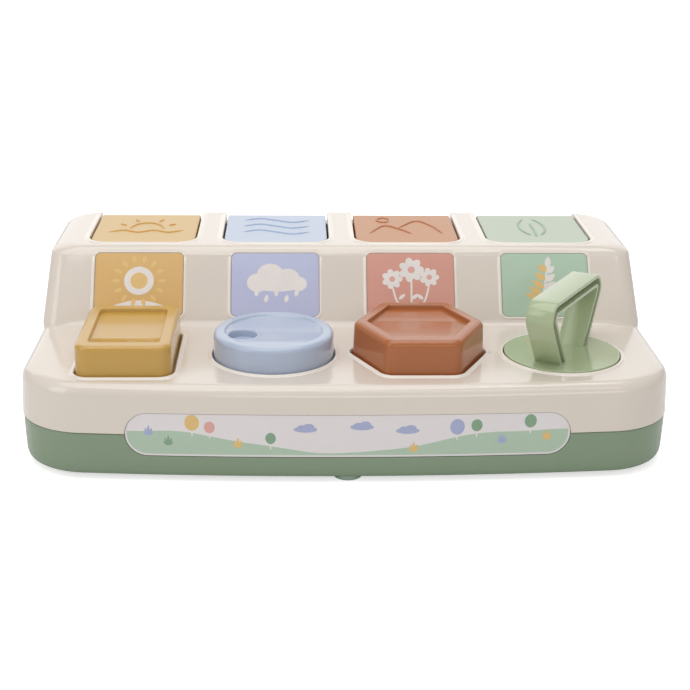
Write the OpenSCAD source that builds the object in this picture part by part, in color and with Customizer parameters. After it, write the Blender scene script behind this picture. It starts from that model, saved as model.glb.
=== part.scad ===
// Pop-up toy for small children: four lidded wells in a raised rear deck, each opened by its own
// control on the front deck. A control draws a latch forward, the latch frees the lid's catch, and
// the lid springs up with an animal figure standing on its underside.
// Frame: +X to the right, +Y to the rear, +Z up. Origin: on the ground under the body's middle.
// All sizes are millimetres.

/* [Body] */
// Width of the body at the seam between the two shells
body_w = 310; // [306:1:318]
// Depth of the body from the front to the rear
body_d = 189; // [189:1:192]
// Radius of the two front corners in plan
corner_r = 34; // [30:1:38]
// Radius of the two rear corners in plan
rear_corner_r = 22; // [16:1:26]
// How far the front face bows out at its middle
front_bow = 4.9; // [3:0.1:6]
// Wall thickness of the shells
wall = 2.6; // [2.2:0.1:2.6]
// Height of the feet under the base
foot_h = 2.5; // [2:0.1:3]
// Height of the seam between the shells
seam_z = 23.8; // [23:0.1:25]
// Height of the front deck
deck_z = 47.2; // [46.8:0.1:47.6]
// Height of the rear deck
top_z = 82.2; // [82:0.1:82.6]
// Rounding of the front deck's edge
deck_edge_r = 6.5; // [5:0.5:7]
// Rounding of the rear deck's front and rear edges
top_edge_r = 4; // [3:0.5:5]
// Rounding of the rear deck's side edges
side_edge_r = 8; // [6:0.5:9]

/* [Riser] */
// Where the riser meets the front deck
riser_y = -5.9; // [-7:0.1:-5]
// Slope of the riser above the horizontal, degrees
riser_angle = 55.5; // [54:0.5:57]
// Width of a picture card
card_w = 45; // [42:0.5:47]
// Height of a picture card along the riser
card_h = 34; // [32:0.5:35]
// Distance from the foot of the riser to a card
card_up = 5; // [4.5:0.1:5.5]
// Thickness of the cards and of the front label
card_t = 0.5; // [0.4:0.1:0.8]

/* [Label] */
// Length of the front label
label_w = 206; // [196:1:210]
// Height of the front label
label_h = 21; // [18:0.5:22]

/* [Controls] */
// Distance between neighbouring controls, and between neighbouring lids
pitch = 70; // [69.5:0.1:70.5]
// Front to rear place of the controls
control_y = -47.6; // [-48:0.1:-47]
// Travel of a latch and of a push button
travel = 4.5; // [4:0.1:4.6]
// Turn of the dial and of the turn key, degrees
turn = 60; // [45:1:70]
// Width of the four-cornered button
square_w = 45; // [44:0.2:45.4]
// Front to rear size of the push buttons
button_d = 59; // [57:0.5:59.4]
// Height of the four-cornered button above the deck
square_h = 15; // [13:0.5:16]
// Height of the six-cornered button above the deck
hexagon_h = 16.5; // [14:0.5:17]
// Radius of the dial
dial_r = 28.9; // [28:0.1:29]
// Height of the dial above the deck
dial_h = 12.5; // [12:0.5:14]
// Radius of the dial's finger hole
finger_r = 6.8; // [6:0.1:7.2]
// Radius of the turn key's disc
key_r = 27.9; // [27:0.1:28.2]
// Height of the turn key's handle above the deck
key_h = 34.2; // [32:0.2:36]
// Direction of the handle at rest, degrees from the X axis
key_angle = 58.6; // [45:0.2:75]

/* [Lids] */
// Width of a lid
lid_w = 55; // [54:0.2:55.2]
// Front edge of the lids
lid_front_y = 26.2; // [26:0.1:26.6]
// Hinge axis, front to rear
hinge_y = 82.2; // [81.6:0.1:82.2]
// Radius of a lid's hinge barrel
barrel_r = 5; // [4.8:0.1:5]
// Thickness of a lid's panel
lid_t = 3; // [2.6:0.1:3]
// Radius of a hinge pin
pin_r = 1.5; // [1.4:0.1:1.6]

/* [Hidden] */
$fn = 48;
slip = 0.2;          // clearance between parts that slide or lie side by side
skin = 0.01;         // thickness of the slices that a hull joins
cream = [0.93, 0.88, 0.82];
green = [0.49, 0.57, 0.46];
yellow = [0.88, 0.74, 0.44];
blue = [0.75, 0.80, 0.88];
orange = [0.80, 0.55, 0.40];
mint = [0.70, 0.76, 0.62];
nylon = [0.93, 0.93, 0.90];
steel = [0.72, 0.72, 0.74];
columns = [-1.5 * pitch, -0.5 * pitch, 0.5 * pitch, 1.5 * pitch];

// Plan of the body
front_y = -body_d / 2;
rear_y = body_d / 2;
corner_x = body_w / 2 - corner_r;
bow_r = (corner_x * corner_x + front_bow * front_bow) / (2 * front_bow);
corner_y = front_y + bow_r - sqrt(pow(bow_r - corner_r, 2) - corner_x * corner_x);
bow_angle = atan2(corner_y - front_y - bow_r, -corner_x) + 360;
side_draft = 0.7;    // how far the cream wall leans in, up to the deck
side_lean = 5.3;     // how far the upper block's sides lean in, up to the rear deck
rear_lean = 1;       // how far its rear wall leans in
rear_corner_lean = 8;  // how much smaller its rear corners' radius gets
block_z = 40;        // where the upper block starts, inside the lower one
block_r = 9;         // corner radius of the upper block in plan
label_r = bow_r - 0.75;  // the label's curved face

// Lids, wells and latches
hinge_z = top_z - barrel_r;
lid_corner_r = 10;
lid_gap = 0.7;       // gap round a lid
lid_bead = 2.6;      // width of the bead round a lid
notch_z = hinge_z - 0.2;
well_in_w = lid_w + 2;
well_wall = 2;
well_front = lid_front_y - 0.5;
well_rear = hinge_y + barrel_r + 0.5;
well_floor = 54;
nose_z = 59.2;
nose_tip = lid_front_y + 5.5;
tongue_y = lid_front_y + 6;
tongue_t = 1.6;
spring_wire = 0.45;  // wire radius of the hinge springs
spring_mean_r = 2.5;
spring_leg_x = 3.55; // how far to the side the hinge spring's legs stand
plate_top = 33;
plate_t = 2.4;
latch_z = plate_top + slip;
latch_t = 3;
latch_x = 18;        // half width of a latch round its window
window_x = 11.5;
window_front = -4.65;
window_rear = 12;
ramp_x = 15;         // middle of a latch's ramps
ramp_y = 3;          // top edge of a ramp, behind the control's middle
ramp_h = travel + 0.1;
cam_base = 4.5;      // the cam's reach at rest
cam_rate = travel / (turn * PI / 180);
hub_r = 4;
case_screw_places = [for (x = [-70, 70], y = [front_y + 10, 78]) [x, y], for (x = [-142, 142]) [x, 30]];
plate_screw_places = [for (x = [-128, 0, 128], y = [-81.5, -12.5]) [x, y]];
foot_places = [[0, front_y + 10.3], [-122, -70], [122, -70], [-122, 74], [122, 74], [0, 80]];
foot_r = 7;
post_places = [for (x = columns, s = [-1, 1]) [x + s * 16, 53]];
button_spring_places = [[-14, -20], [14, 21]];

// Flat outlines ------------------------------------------------------------------------------

function unit(v) = v / norm(v);

// Points of an arc from angle a0 to a1 in n steps
function arc(x, y, r, a0, a1, n) =
  [for (k = [0:n]) let (a = a0 + (a1 - a0) * k / n) [x + r * cos(a), y + r * sin(a)]];

// Convex outline p, counter-clockwise, with its edges moved out by d
function grow(p, d) = [for (i = [0:len(p) - 1]) let (
    b = p[i],
    u = unit(p[(i + len(p) - 1) % len(p)] - b),
    v = unit(p[(i + 1) % len(p)] - b),
    half = acos(u * v) / 2)
  b - unit(u + v) * d / sin(half)];

// Convex outline p with corner i rounded to radius r[i]
function rounded(p, r, n = 6) = [for (i = [0:len(p) - 1]) let (
    b = p[i],
    u = unit(p[(i + len(p) - 1) % len(p)] - b),
    v = unit(p[(i + 1) % len(p)] - b),
    half = acos(u * v) / 2,
    c = b + unit(u + v) * r[i] / sin(half),
    s = b + u * r[i] / tan(half) - c,
    a0 = atan2(s[1], s[0]))
  each arc(c[0], c[1], r[i], a0, a0 + 180 - 2 * half, n)];

function box_corners(x0, y0, x1, y1) = [[x0, y0], [x1, y0], [x1, y1], [x0, y1]];

// The body's plan, moved in by i
function plan(i) = concat(
  arc(-corner_x, corner_y, corner_r - i, 180, bow_angle, 10),
  arc(0, front_y + bow_r, bow_r - i, bow_angle, 540 - bow_angle, 12),
  arc(corner_x, corner_y, corner_r - i, 540 - bow_angle, 360, 10),
  arc(body_w / 2 - rear_corner_r, rear_y - rear_corner_r, rear_corner_r - i, 0, 90, 8),
  arc(-body_w / 2 + rear_corner_r, rear_y - rear_corner_r, rear_corner_r - i, 90, 180, 8));

function riser_at(z) = riser_y + (z - deck_z) / tan(riser_angle);
function lean_at(z) = max(0, (z - deck_z) / (top_z - deck_z));

// The upper block's plan at height z, moved in by i at the front and rear and by j at the sides
function block(z, i, j) = let (
    x = body_w / 2 - side_draft - side_lean * lean_at(z) - j,
    y0 = riser_at(z) + i,
    y1 = rear_y - side_draft - rear_lean * lean_at(z) - i,
    r = rear_corner_r - side_draft - rear_corner_lean * lean_at(z) - min(i, j))
  rounded(box_corners(-x, y0, x, y1), [block_r, block_r, r, r]);

square_shape = box_corners(-square_w / 2, -button_d / 2, square_w / 2, button_d / 2);
hexagon_shape = let (x = 33.4, f = 17.2, y = button_d / 2)
  [[-x, 0], [-f, -y], [f, -y], [x, 0], [f, y], [-f, y]];
square_r = 6.5;
hexagon_r = 6;
hole_gap = 0.8;

function corners(n, r) = [for (i = [0:n - 1]) r];
function square_outline(d) = rounded(grow(square_shape, d), corners(4, square_r + d));
function hexagon_outline(d) = rounded(grow(hexagon_shape, d), corners(6, hexagon_r + d));
function lid_outline(d) = rounded(
  grow(box_corners(-lid_w / 2, lid_front_y, lid_w / 2, hinge_y), d),
  [lid_corner_r + d, lid_corner_r + d, 0.5, 0.5]);
function card_outline(d) = rounded(
  grow(box_corners(-card_w / 2, 0, card_w / 2, card_h), d), corners(4, 2.6 + d));

// Placing ------------------------------------------------------------------------------------

module at_control(i) { translate([columns[i], control_y, 0]) children(); }
module at_column(i) { translate([columns[i], 0, 0]) children(); }

// Lays a flat drawing on the riser, its foot at the riser's foot, z out of the surface
module on_riser() {
  translate([0, riser_at(deck_z), deck_z]) rotate([riser_angle, 0, 0]) children();
}

// Turns a figure drawn standing on the hinge axis, facing the front, into the closed lid's place
module under_lid(i) {
  translate([columns[i], hinge_y, hinge_z]) rotate([90, 0, 0]) children();
}

// Extrudes a side view, drawn with y to the rear and z up, to width w about the middle
module side_view(w) { translate([-w / 2, 0, 0]) rotate([90, 0, 90]) linear_extrude(w) children(); }

module slice(z, points) { translate([0, 0, z - skin]) linear_extrude(skin) polygon(points); }

module tube(r_out, r_in, h) {
  difference() {
    cylinder(r = r_out, h = h);
    translate([0, 0, -1]) cylinder(r = r_in, h = h + 2);
  }
}

// Faces of a tube of n + 1 rings with the given number of sides, closed at both ends
function tube_faces(n, sides) = concat(
  [for (k = [0:n - 1], s = [0:sides - 1]) let (p = k * sides + s, q = k * sides + (s + 1) % sides)
    each [[p, q + sides, p + sides], [p, q, q + sides]]],
  [for (s = [1:sides - 2]) [0, s + 1, s]],
  [for (s = [1:sides - 2]) [n * sides, n * sides + s, n * sides + s + 1]]);

// One ring of a coil's wire at angle a and height z, moved along its own tangent by t
function wire_ring(r, wire_r, a, z, t, sides) = [for (s = [0:sides - 1]) let (
    b = 360 * s / sides, q = r + wire_r * cos(b))
  [q * cos(a) - t * sin(a), q * sin(a) + t * cos(a), z + wire_r * sin(b)]];

// Coil spring about +Z from z = 0: one unbroken wire, which may end in straight legs
module coil(r, wire_r, h, turns, start = 0, first_leg = 0, last_leg = 0, steps = 10, sides = 5) {
  n = ceil(turns * steps);
  rings = [
    if (first_leg > 0) wire_ring(r, wire_r, start, wire_r, -first_leg, sides),
    for (k = [0:n]) wire_ring(r, wire_r, start + 360 * turns * k / n,
      wire_r + (h - 2 * wire_r) * k / n, 0, sides),
    if (last_leg > 0) wire_ring(r, wire_r, start + 360 * turns, h - wire_r, last_leg, sides)];
  polyhedron(points = [for (ring = rings) each ring], faces = tube_faces(len(rings) - 1, sides));
}

// Shells -------------------------------------------------------------------------------------

module lower_block(i) {
  hull() {
    slice(seam_z + skin, plan(i));
    for (a = [0:18:90])
      slice(deck_z - i - deck_edge_r * (1 - sin(a)), plan(i + side_draft + deck_edge_r * (1 - cos(a))));
  }
}

module upper_block() {
  hull() {
    slice(block_z, block(block_z, 0, 0));
    for (a = [0:18:90]) let (z = top_z - top_edge_r * (1 - sin(a)))
      slice(z, block(z, top_edge_r * (1 - cos(a)), side_edge_r * (1 - cos(a))));
  }
}

module block_hollow() {
  inset = wall / sin(riser_angle);
  hull() {
    slice(block_z, block(block_z, inset, wall));
    slice(top_z - wall, block(top_z - wall, inset, wall));
  }
}

module deck_holes(d, h) {
  at_control(0) linear_extrude(h) polygon(square_outline(hole_gap + d));
  at_control(1) cylinder(r = dial_r + 0.7 + d, h = h);
  at_control(2) linear_extrude(h) polygon(hexagon_outline(hole_gap + d));
  at_control(3) cylinder(r = key_r + 0.7 + d, h = h);
}

module lid_holes() {
  for (i = [0:3]) at_column(i) {
    translate([0, 0, notch_z]) linear_extrude(10) polygon(lid_outline(lid_gap));
    translate([-lid_w / 2 - lid_gap, 60, notch_z]) cube([lid_w + 2 * lid_gap, 60, 10]);
  }
}

module boss(p, z0, z1, r, hole_r, hole_depth) {
  translate([p[0], p[1], z0]) difference() {
    cylinder(r = r, h = z1 - z0);
    translate([0, 0, -1]) cylinder(r = hole_r, h = hole_depth + 1);
  }
}

// The label's recess: a thin curved pocket in the bowed front
module label_form(r_out, r_in, grown) {
  translate([0, front_y + bow_r, 0]) intersection() {
    translate([0, 0, seam_z - 20]) difference() {
      cylinder(r = r_out, h = 40, $fn = 96);
      translate([0, 0, -1]) cylinder(r = r_in, h = 42, $fn = 96);
    }
    translate([0, -bow_r + 30, seam_z]) rotate([90, 0, 0]) linear_extrude(60) union() {
      square([label_w - label_h, label_h + 2 * grown], center = true);
      for (s = [-1, 1]) translate([s * (label_w - label_h) / 2, 0]) circle(r = label_h / 2 + grown);
    }
  }
}

module upper_shell() color(cream) {
  difference() {
    union() {
      lower_block(0);
      upper_block();
      translate([0, 0, deck_z]) intersection() {
        translate([0, 0, -1]) deck_holes(2, 1.9);
        translate([-body_w / 2, front_y, -2]) cube([body_w, body_d, 10]);
      }
      for (i = [0:3]) at_column(i)
        translate([0, 0, top_z - 1]) linear_extrude(1.7) polygon(lid_outline(lid_gap + lid_bead));
      for (i = [0:3]) at_column(i) on_riser() translate([0, card_up, -1])
        linear_extrude(1.5) polygon(card_outline(2.4));
    }
    translate([0, 0, seam_z - 1]) linear_extrude(deck_z - wall - seam_z + 1) polygon(plan(wall));
    block_hollow();
    translate([0, 0, deck_z - 10]) deck_holes(0, 20);
    lid_holes();
    for (i = [0:3]) at_column(i) on_riser() translate([0, card_up, -card_t]) {
      linear_extrude(card_t + 2) polygon(card_outline(0.2));
      linear_extrude(card_t * 2) polygon(card_outline(1.2));
    }
    label_form(bow_r + 5, label_r - card_t - 0.05, 0.2);
  }
  for (p = case_screw_places)
    boss(p, seam_z, (p[1] < riser_y ? deck_z : top_z) - wall + 0.1, 3.6, 1.1, 14);
  for (p = plate_screw_places) boss(p, plate_top + 0.1, deck_z - wall + 0.1, 2.9, 0.95, 9);
}

module lower_shell() color(green) {
  difference() {
    union() {
      difference() {
        hull() {
          slice(foot_h + skin, plan(3.2));
          slice(foot_h + 1, plan(1.6));
          slice(foot_h + 3.2, plan(0.9));
          slice(seam_z - 0.3, plan(0.35));
        }
        translate([0, 0, foot_h + wall]) linear_extrude(40) polygon(plan(wall + 1));
      }
      // Lip that stands up inside the upper shell
      translate([0, 0, seam_z - 4]) linear_extrude(6) difference() {
        polygon(plan(wall + slip));
        polygon(plan(wall + 1.4));
      }
      for (p = case_screw_places) translate([p[0], p[1], foot_h + 1]) cylinder(r = 4.4, h = seam_z - foot_h - 1);
      for (p = post_places) translate([p[0], p[1], foot_h + 1])
        cylinder(r = 4, h = well_floor - well_wall - foot_h - 1 - slip);
    }
    for (p = case_screw_places) translate([p[0], p[1], foot_h]) {
      translate([0, 0, -1]) cylinder(r = 3, h = 11);
      cylinder(r = 1.6, h = 30);
    }
    for (p = foot_places) translate([p[0], p[1], 0]) cylinder(r = 5, h = foot_h + 1.2);
    label_form(bow_r + 5, label_r - card_t - 0.05, 0.2);
  }
}

module front_label() color([0.86, 0.85, 0.85])
  label_form(label_r, label_r - card_t, 0);

module picture_card(i, shade) color(shade) at_column(i) on_riser()
  translate([0, card_up, -card_t + 0.02]) linear_extrude(card_t - 0.05) polygon(card_outline(0));

module well(i) color(cream) at_column(i) {
  x = well_in_w / 2;
  outer = x + well_wall;
  ledge_rear = rear_y - side_draft - rear_lean - wall / sin(riser_angle) - 0.4;
  difference() {
    union() {
      difference() {
        translate([-outer, well_front - well_wall, well_floor - well_wall])
          cube([2 * outer, well_rear - well_front + 2 * well_wall, top_z - wall - slip - well_floor + well_wall]);
        translate([-x, well_front, well_floor]) cube([2 * x, well_rear - well_front, 40]);
        translate([-outer - 1, well_rear - 1, notch_z]) cube([2 * outer + 2, 10, 10]);
      }
      translate([-x, well_rear + 0.5, notch_z - 2]) cube([2 * x, ledge_rear - well_rear - 0.5, 2]);
      translate([-spring_leg_x - 1.2, hinge_y + spring_mean_r + spring_wire + 0.05, hinge_z - 14])
        cube([2.4, well_rear - hinge_y - 2, 8]);
    }
    translate([-6, well_front - well_wall - 1, nose_z - 0.8]) cube([12, well_wall + 2, 4]);
    translate([-outer - 1, hinge_y, hinge_z]) rotate([0, 90, 0]) cylinder(r = pin_r + 0.05, h = 2 * outer + 2);
  }
}

// Lids ---------------------------------------------------------------------------------------

module hinge_pin(i) color(steel) translate([columns[i], hinge_y, hinge_z]) rotate([0, 90, 0])
  translate([0, 0, -well_in_w / 2 - well_wall]) cylinder(r = pin_r, h = well_in_w + 2 * well_wall);

// Outline of a curved stroke: an arc of width w
function stroke(x, y, r, a0, a1, w = 1.4) =
  concat(arc(x, y, r + w / 2, a0, a1, 8), arc(x, y, r - w / 2, a1, a0, 8));

// Raised drawing on a lid, in thin strokes about the lid's middle: sunrise, waves, hills or leaf
module lid_drawing(i) {
  if (i == 0) {
    polygon(stroke(0, -5, 8.5, 0, 180));
    for (a = [15:37.5:165]) translate([0, -5]) rotate(a) translate([11.5, -0.6]) square([4.5, 1.2]);
    translate([-17, -8]) square([34, 1.3]);
  }
  if (i == 1) for (y = [-9, -1, 7]) for (x = [-9, 3]) translate([x + y / 3, y]) {
    polygon(stroke(0, 0, 6, 40, 140));
    polygon(stroke(7.6, 5.4, 3.4, 215, 325));
  }
  if (i == 2) {
    polygon(stroke(-7, -14, 14, 35, 150));
    polygon(stroke(10, -15, 12, 30, 112));
    polygon(stroke(8, 8, 4.5, 0, 350));
  }
  if (i == 3) {
    polygon(stroke(-13, 0, 20, -38, 38));
    polygon(stroke(13, 0, 20, 142, 218));
    translate([-0.65, -17]) square([1.3, 26]);
  }
}

module lid(i, shade) color(shade) at_column(i) {
  spring_x = 9;
  difference() {
    union() {
      translate([0, 0, top_z - lid_t]) linear_extrude(lid_t) polygon(lid_outline(0));
      translate([-lid_w / 2, hinge_y, hinge_z]) rotate([0, 90, 0]) cylinder(r = barrel_r, h = lid_w);
      translate([0, lid_front_y + 30, top_z - 0.5]) linear_extrude(1) lid_drawing(i);
    }
    translate([-lid_w, hinge_y, hinge_z]) rotate([0, 90, 0]) cylinder(r = pin_r + 0.05, h = 2 * lid_w);
    translate([-spring_x, hinge_y, hinge_z]) rotate([0, 90, 0]) cylinder(r = 3.7, h = 2 * spring_x);
    translate([-spring_x, hinge_y - 8, hinge_z - 8]) cube([2 * spring_x, 11.7, 10 - slip]);
    translate([spring_leg_x - 1, hinge_y - 8.8, hinge_z + 1]) cube([2, 8, 2.1]);
  }
}

// Torsion spring on the pin: one leg bears on the lid, the other on a rib of the well
module hinge_spring(i) color(steel) translate([columns[i], hinge_y, hinge_z]) rotate([0, 90, 0])
  translate([0, 0, -spring_leg_x - spring_wire])
    coil(spring_mean_r, spring_wire, 2 * (spring_leg_x + spring_wire), 4.25, 90,
      first_leg = 14, last_leg = 8);

// Thin hooked tongue that hangs from the lid; its hook lies under the latch's nose
module catch_tongue(i) color(nylon) at_column(i) side_view(11) polygon([
  [tongue_y, top_z - lid_t], [tongue_y, nose_z - slip], [tongue_y - 2.5, nose_z - slip],
  [tongue_y - 2.5, nose_z - 1.2], [tongue_y - 1, nose_z - 2.6], [tongue_y + tongue_t, nose_z - 2.6],
  [tongue_y + tongue_t, top_z - lid_t - 1.6], [tongue_y + 4, top_z - lid_t - 1.6],
  [tongue_y + 4, top_z - lid_t]]);

// Figures, drawn standing: x to the side, z up from the hinge axis, facing -y -----------------

figure_back = barrel_r - lid_t;    // the lid's inner face

module stand(w) {
  translate([-w / 2, figure_back - 15, 6]) cube([w, 15, 2.4]);
}

module ball(x, y, z, r) { translate([x, y, z]) sphere(r = r, $fn = 40); }

module leg(x, y, r, z0, z1) { translate([x, y, z0]) cylinder(r = r, h = z1 - z0); }

module lion_figure() color([0.93, 0.80, 0.52]) under_lid(0) {
  stand(34);
  for (x = [-7, 7]) {
    leg(x, -7, 4.2, 8, 18);
    ball(x, -8.5, 11, 4.4);
    ball(x * 0.93, -7.5, 34.6, 2.8);
  }
  translate([0, figure_back, 20]) rotate([90, 0, 0]) cylinder(r = 11, h = 9);
  ball(0, -7, 19, 9);
  translate([0, figure_back, 28]) rotate([90, 0, 0]) cylinder(r = 12, h = 9);
  ball(0, -7, 28, 8.8);
  ball(0, -14, 25.5, 3.4);
  translate([9, -4, 13]) rotate([0, 34, 0]) cylinder(r = 1.5, h = 12);
  ball(16.2, -4, 23.8, 2.6);
}

module elephant_figure() color([0.80, 0.82, 0.88]) under_lid(1) {
  stand(38);
  for (s = [-1, 1]) {
    leg(s * 8, -6.5, 4.6, 8, 20);
    translate([s * 13, figure_back - 4, 29]) rotate([90, 0, 0]) cylinder(r = 9, h = 3);
  }
  translate([0, figure_back, 20]) rotate([90, 0, 0]) cylinder(r = 13, h = 8);
  ball(0, -7.5, 20, 9.4);
  ball(0, -7.6, 29, 9.2);
  translate([0, -14.6, 14]) cylinder(r1 = 2.4, r2 = 3.2, h = 14);
  ball(0, -14.6, 14, 2.3);
  ball(0, -14, 27.6, 3.3);
}

module flamingo_figure() color([0.93, 0.72, 0.72]) under_lid(2) {
  stand(30);
  for (x = [3, 9]) leg(x, -6, 1.5, 8, 19);
  ball(6, -5, 22, 6.6);
  translate([7, -5.7, 22]) rotate([0, 75, 0]) cylinder(r1 = 5.4, r2 = 2, h = 10);
  translate([2, -6.2, 23]) rotate([0, -38, 0]) cylinder(r = 2.3, h = 12);
  translate([-5.4, -6.5, 31.6]) rotate([0, 20, 0]) cylinder(r = 2.1, h = 7);
  ball(-5.3, -5.9, 31.9, 3);
  ball(-3.4, -6, 38.2, 3.4);
  translate([-4.4, -6.3, 38]) rotate([0, -122, 0]) cylinder(r1 = 2.2, r2 = 0.8, h = 8);
  translate([6, figure_back, 21]) rotate([90, 0, 0]) cylinder(r = 3, h = 5);
}

module giraffe_figure() color([0.93, 0.82, 0.58]) under_lid(3) {
  stand(36);
  for (p = [[-2, -4], [3, -9], [10, -9], [14, -4]]) leg(p[0], p[1], 1.8, 8, 20);
  translate([-2, -6, 20]) rotate([0, 90, 0]) cylinder(r = 5, h = 16);
  ball(-2, -6, 20, 5);
  ball(14, -6, 20, 5);
  translate([-2, -6, 21]) rotate([0, -16, 0]) cylinder(r1 = 3.6, r2 = 2.4, h = 16);
  ball(-6.5, -6, 36.4, 3.4);
  translate([-7, -6, 36.4]) rotate([0, -110, 0]) cylinder(r1 = 3, r2 = 2, h = 6);
  ball(-12.4, -6, 34.3, 2.2);
  for (y = [-7.6, -4.4]) translate([-5.8, y, 37]) cylinder(r = 0.9, h = 4);
  translate([6, figure_back, 20]) rotate([90, 0, 0]) cylinder(r = 3.4, h = 6);
}

// Controls -----------------------------------------------------------------------------------

// Hollow push button: cap above the deck, skirt through it, and a lip that stops under it
module push_cap(h, shape, r_corner, recess) {
  n = len(shape);
  skirt = deck_z - wall - slip - 1.8;
  roof = deck_z + h;
  difference() {
    union() {
      translate([0, 0, skirt]) linear_extrude(roof - 2 - skirt)
        polygon(rounded(shape, corners(n, r_corner)));
      translate([0, 0, roof - 2 - skin]) linear_extrude(1.2)
        polygon(rounded(grow(shape, -0.5), corners(n, r_corner)));
      translate([0, 0, roof - 0.8 - skin]) linear_extrude(0.8)
        polygon(rounded(grow(shape, -1.6), corners(n, r_corner - 1)));
      translate([0, 0, skirt]) linear_extrude(1.8)
        polygon(rounded(grow(shape, 2), corners(n, r_corner + 2)));
    }
    translate([0, 0, skirt - 1]) linear_extrude(roof - 3.8 - skirt + 1)
      polygon(rounded(grow(shape, -2.2), corners(n, r_corner - 1.5)));
    translate([0, 0, roof - 1.4]) linear_extrude(4) polygon(recess);
  }
  // Ribs whose sloping ends press the latch's ramps, and pegs for the springs
  top = roof - 3.8 + 0.1;
  tip = latch_z + latch_t + ramp_h + 0.1;
  for (s = [-1, 1]) translate([s * ramp_x, 0, 0]) side_view(3) polygon([
    [ramp_y + 0.15, tip], [ramp_y + 4, tip], [ramp_y + 4, top],
    [ramp_y - 6, top], [ramp_y - 6, tip + 6.15]]);
  for (p = button_spring_places) translate([p[0], p[1], plate_top + 11]) {
    cylinder(r = 4.6, h = top - plate_top - 11);
    translate([0, 0, -4]) cylinder(r = 1.8, h = 5);
  }
}

module square_button() color(yellow) at_control(0)
  push_cap(square_h, square_shape, square_r,
    rounded(grow(square_shape, -5.5), corners(4, 3.5)));

module hexagon_button() color(orange) at_control(2)
  push_cap(hexagon_h, hexagon_shape, hexagon_r,
    rounded(grow(hexagon_shape, -6), corners(6, 1)));

module button_springs(i) color(steel) at_control(i)
  for (p = button_spring_places) translate([p[0], p[1], plate_top])
    coil(2.9, 0.45, 11, 6);

// Cam whose reach towards the latch grows evenly with its turn: an involute of radius cam_rate
module cam() {
  lobe = [for (a = [0:5:turn]) let (reach = cam_base + cam_rate * a * PI / 180)
    [reach * cos(a - 90) - cam_rate * sin(a - 90), reach * sin(a - 90) + cam_rate * cos(a - 90)]];
  translate([0, 0, latch_z]) linear_extrude(latch_t) {
    polygon(concat([[-1, 0]], lobe, [[1, 2]]));
    circle(r = cam_base);
  }
}

// Spindle down through the control plate, with its cam and a blind screw hole from below
module spindle(z_top) {
  difference() {
    union() {
      cam();
      translate([0, 0, plate_top - plate_t - 0.2]) cylinder(r = hub_r, h = z_top - plate_top + plate_t + 0.2);
    }
    translate([0, 0, 0]) cylinder(r = 1.1, h = plate_top + 8);
  }
}

module dial() color(blue) at_control(1) {
  roof = deck_z + dial_h;
  skirt = deck_z - wall - slip - 1.8;
  finger = [-14.6, -6.6];
  difference() {
    union() {
      difference() {
        union() {
          translate([0, 0, skirt]) cylinder(r = dial_r, h = roof - skirt - 2, $fn = 96);
          translate([0, 0, roof - 2]) rotate_extrude($fn = 96) union() {
            square([dial_r - 2, 2]);
            translate([dial_r - 2, 0]) intersection() { circle(r = 2); square(3); }
          }
          translate([0, 0, skirt]) cylinder(r = dial_r + 1.8, h = 1.8, $fn = 96);
        }
        translate([0, 0, skirt - 1]) cylinder(r = dial_r - 2.2, h = roof - skirt - 3 + 1 - 0.4);
        translate([0, 0, roof - 1]) cylinder(r = 23.7, h = 3, $fn = 96);
      }
      translate([finger[0], finger[1], roof - 11]) cylinder(r = finger_r + 1.8, h = 11.2);
    }
    translate([finger[0], finger[1], roof - 9.4]) cylinder(r = finger_r, h = 20);
  }
  spindle(roof - 3);
}

module turn_key() color(mint) at_control(3) {
  disc_h = 1.2;      // height of the disc above the deck
  disc_top = deck_z + disc_h;
  base = 18.3;       // half length of the handle at the disc
  top = 39.4;        // half length of the handle at its top, before its corners are rounded
  width = 13.2;
  band = 1.7;        // thickness of each band
  section = 6.2;     // depth of the handle's section, both bands
  high = key_h - disc_h;
  translate([0, 0, disc_top - 2.6]) cylinder(r = key_r, h = 2.6, $fn = 96);
  translate([0, 0, disc_top - 4.6]) tube(key_r - 1.4, key_r - 3.4, 2.2);
  spindle(disc_top - 1);
  translate([0, 0, disc_top - 0.1]) rotate([0, 0, key_angle]) rotate([90, 0, 0]) {
    outer = [[-base, 0], [base, 0], [top, high], [-top, high]];
    translate([0, 0, -width / 2]) linear_extrude(width) difference() {
      polygon(handle(outer, 0));
      polygon(handle(outer, band));
    }
    translate([0, 0, -width / 2]) linear_extrude(width) difference() {
      polygon(handle(outer, section - band));
      polygon(handle(outer, section));
    }
    translate([0, 0, -1]) linear_extrude(2) difference() {
      polygon(handle(outer, band / 2));
      polygon(handle(outer, section - band / 2));
    }
  }
}

// The handle's outline moved in by d, with its foot kept on the disc
function handle(outer, d) = let (
    p = grow(outer, -d),
    q = concat([[p[0][0] - d * (p[3][0] - p[0][0]) / (p[3][1] - p[0][1]), 0]],
      [[p[1][0] - d * (p[2][0] - p[1][0]) / (p[2][1] - p[1][1]), 0]], [p[2], p[3]]))
  rounded(q, [0.01, 0.01, max(7.7 - d, 1.2), max(7.7 - d, 1.2)], 8);

module turn_spring(i) color(steel) at_control(i) {
  translate([0, 0, latch_z + latch_t + 0.2]) coil(5, 0.55, 6, 4, steps = 12);
}

module washer(i) color(nylon) at_control(i)
  translate([0, 0, plate_top - plate_t - 1.6]) tube(8, 1.6, 1.3);

module screw_form(shaft_r, head_r, head_h, length) {
  difference() {
    union() {
      cylinder(r = head_r, h = head_h);
      cylinder(r = shaft_r, h = length);
    }
    for (a = [0, 90]) rotate(a) translate([-head_r * 0.6, -0.35, -0.01])
      cube([head_r * 1.2, 0.7, head_h * 0.6]);
  }
}

module spindle_screw(i) color(steel) at_control(i)
  translate([0, 0, plate_top - plate_t - 3.2]) screw_form(1.05, 3, 1.5, 9.5);

// Latches ------------------------------------------------------------------------------------

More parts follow.
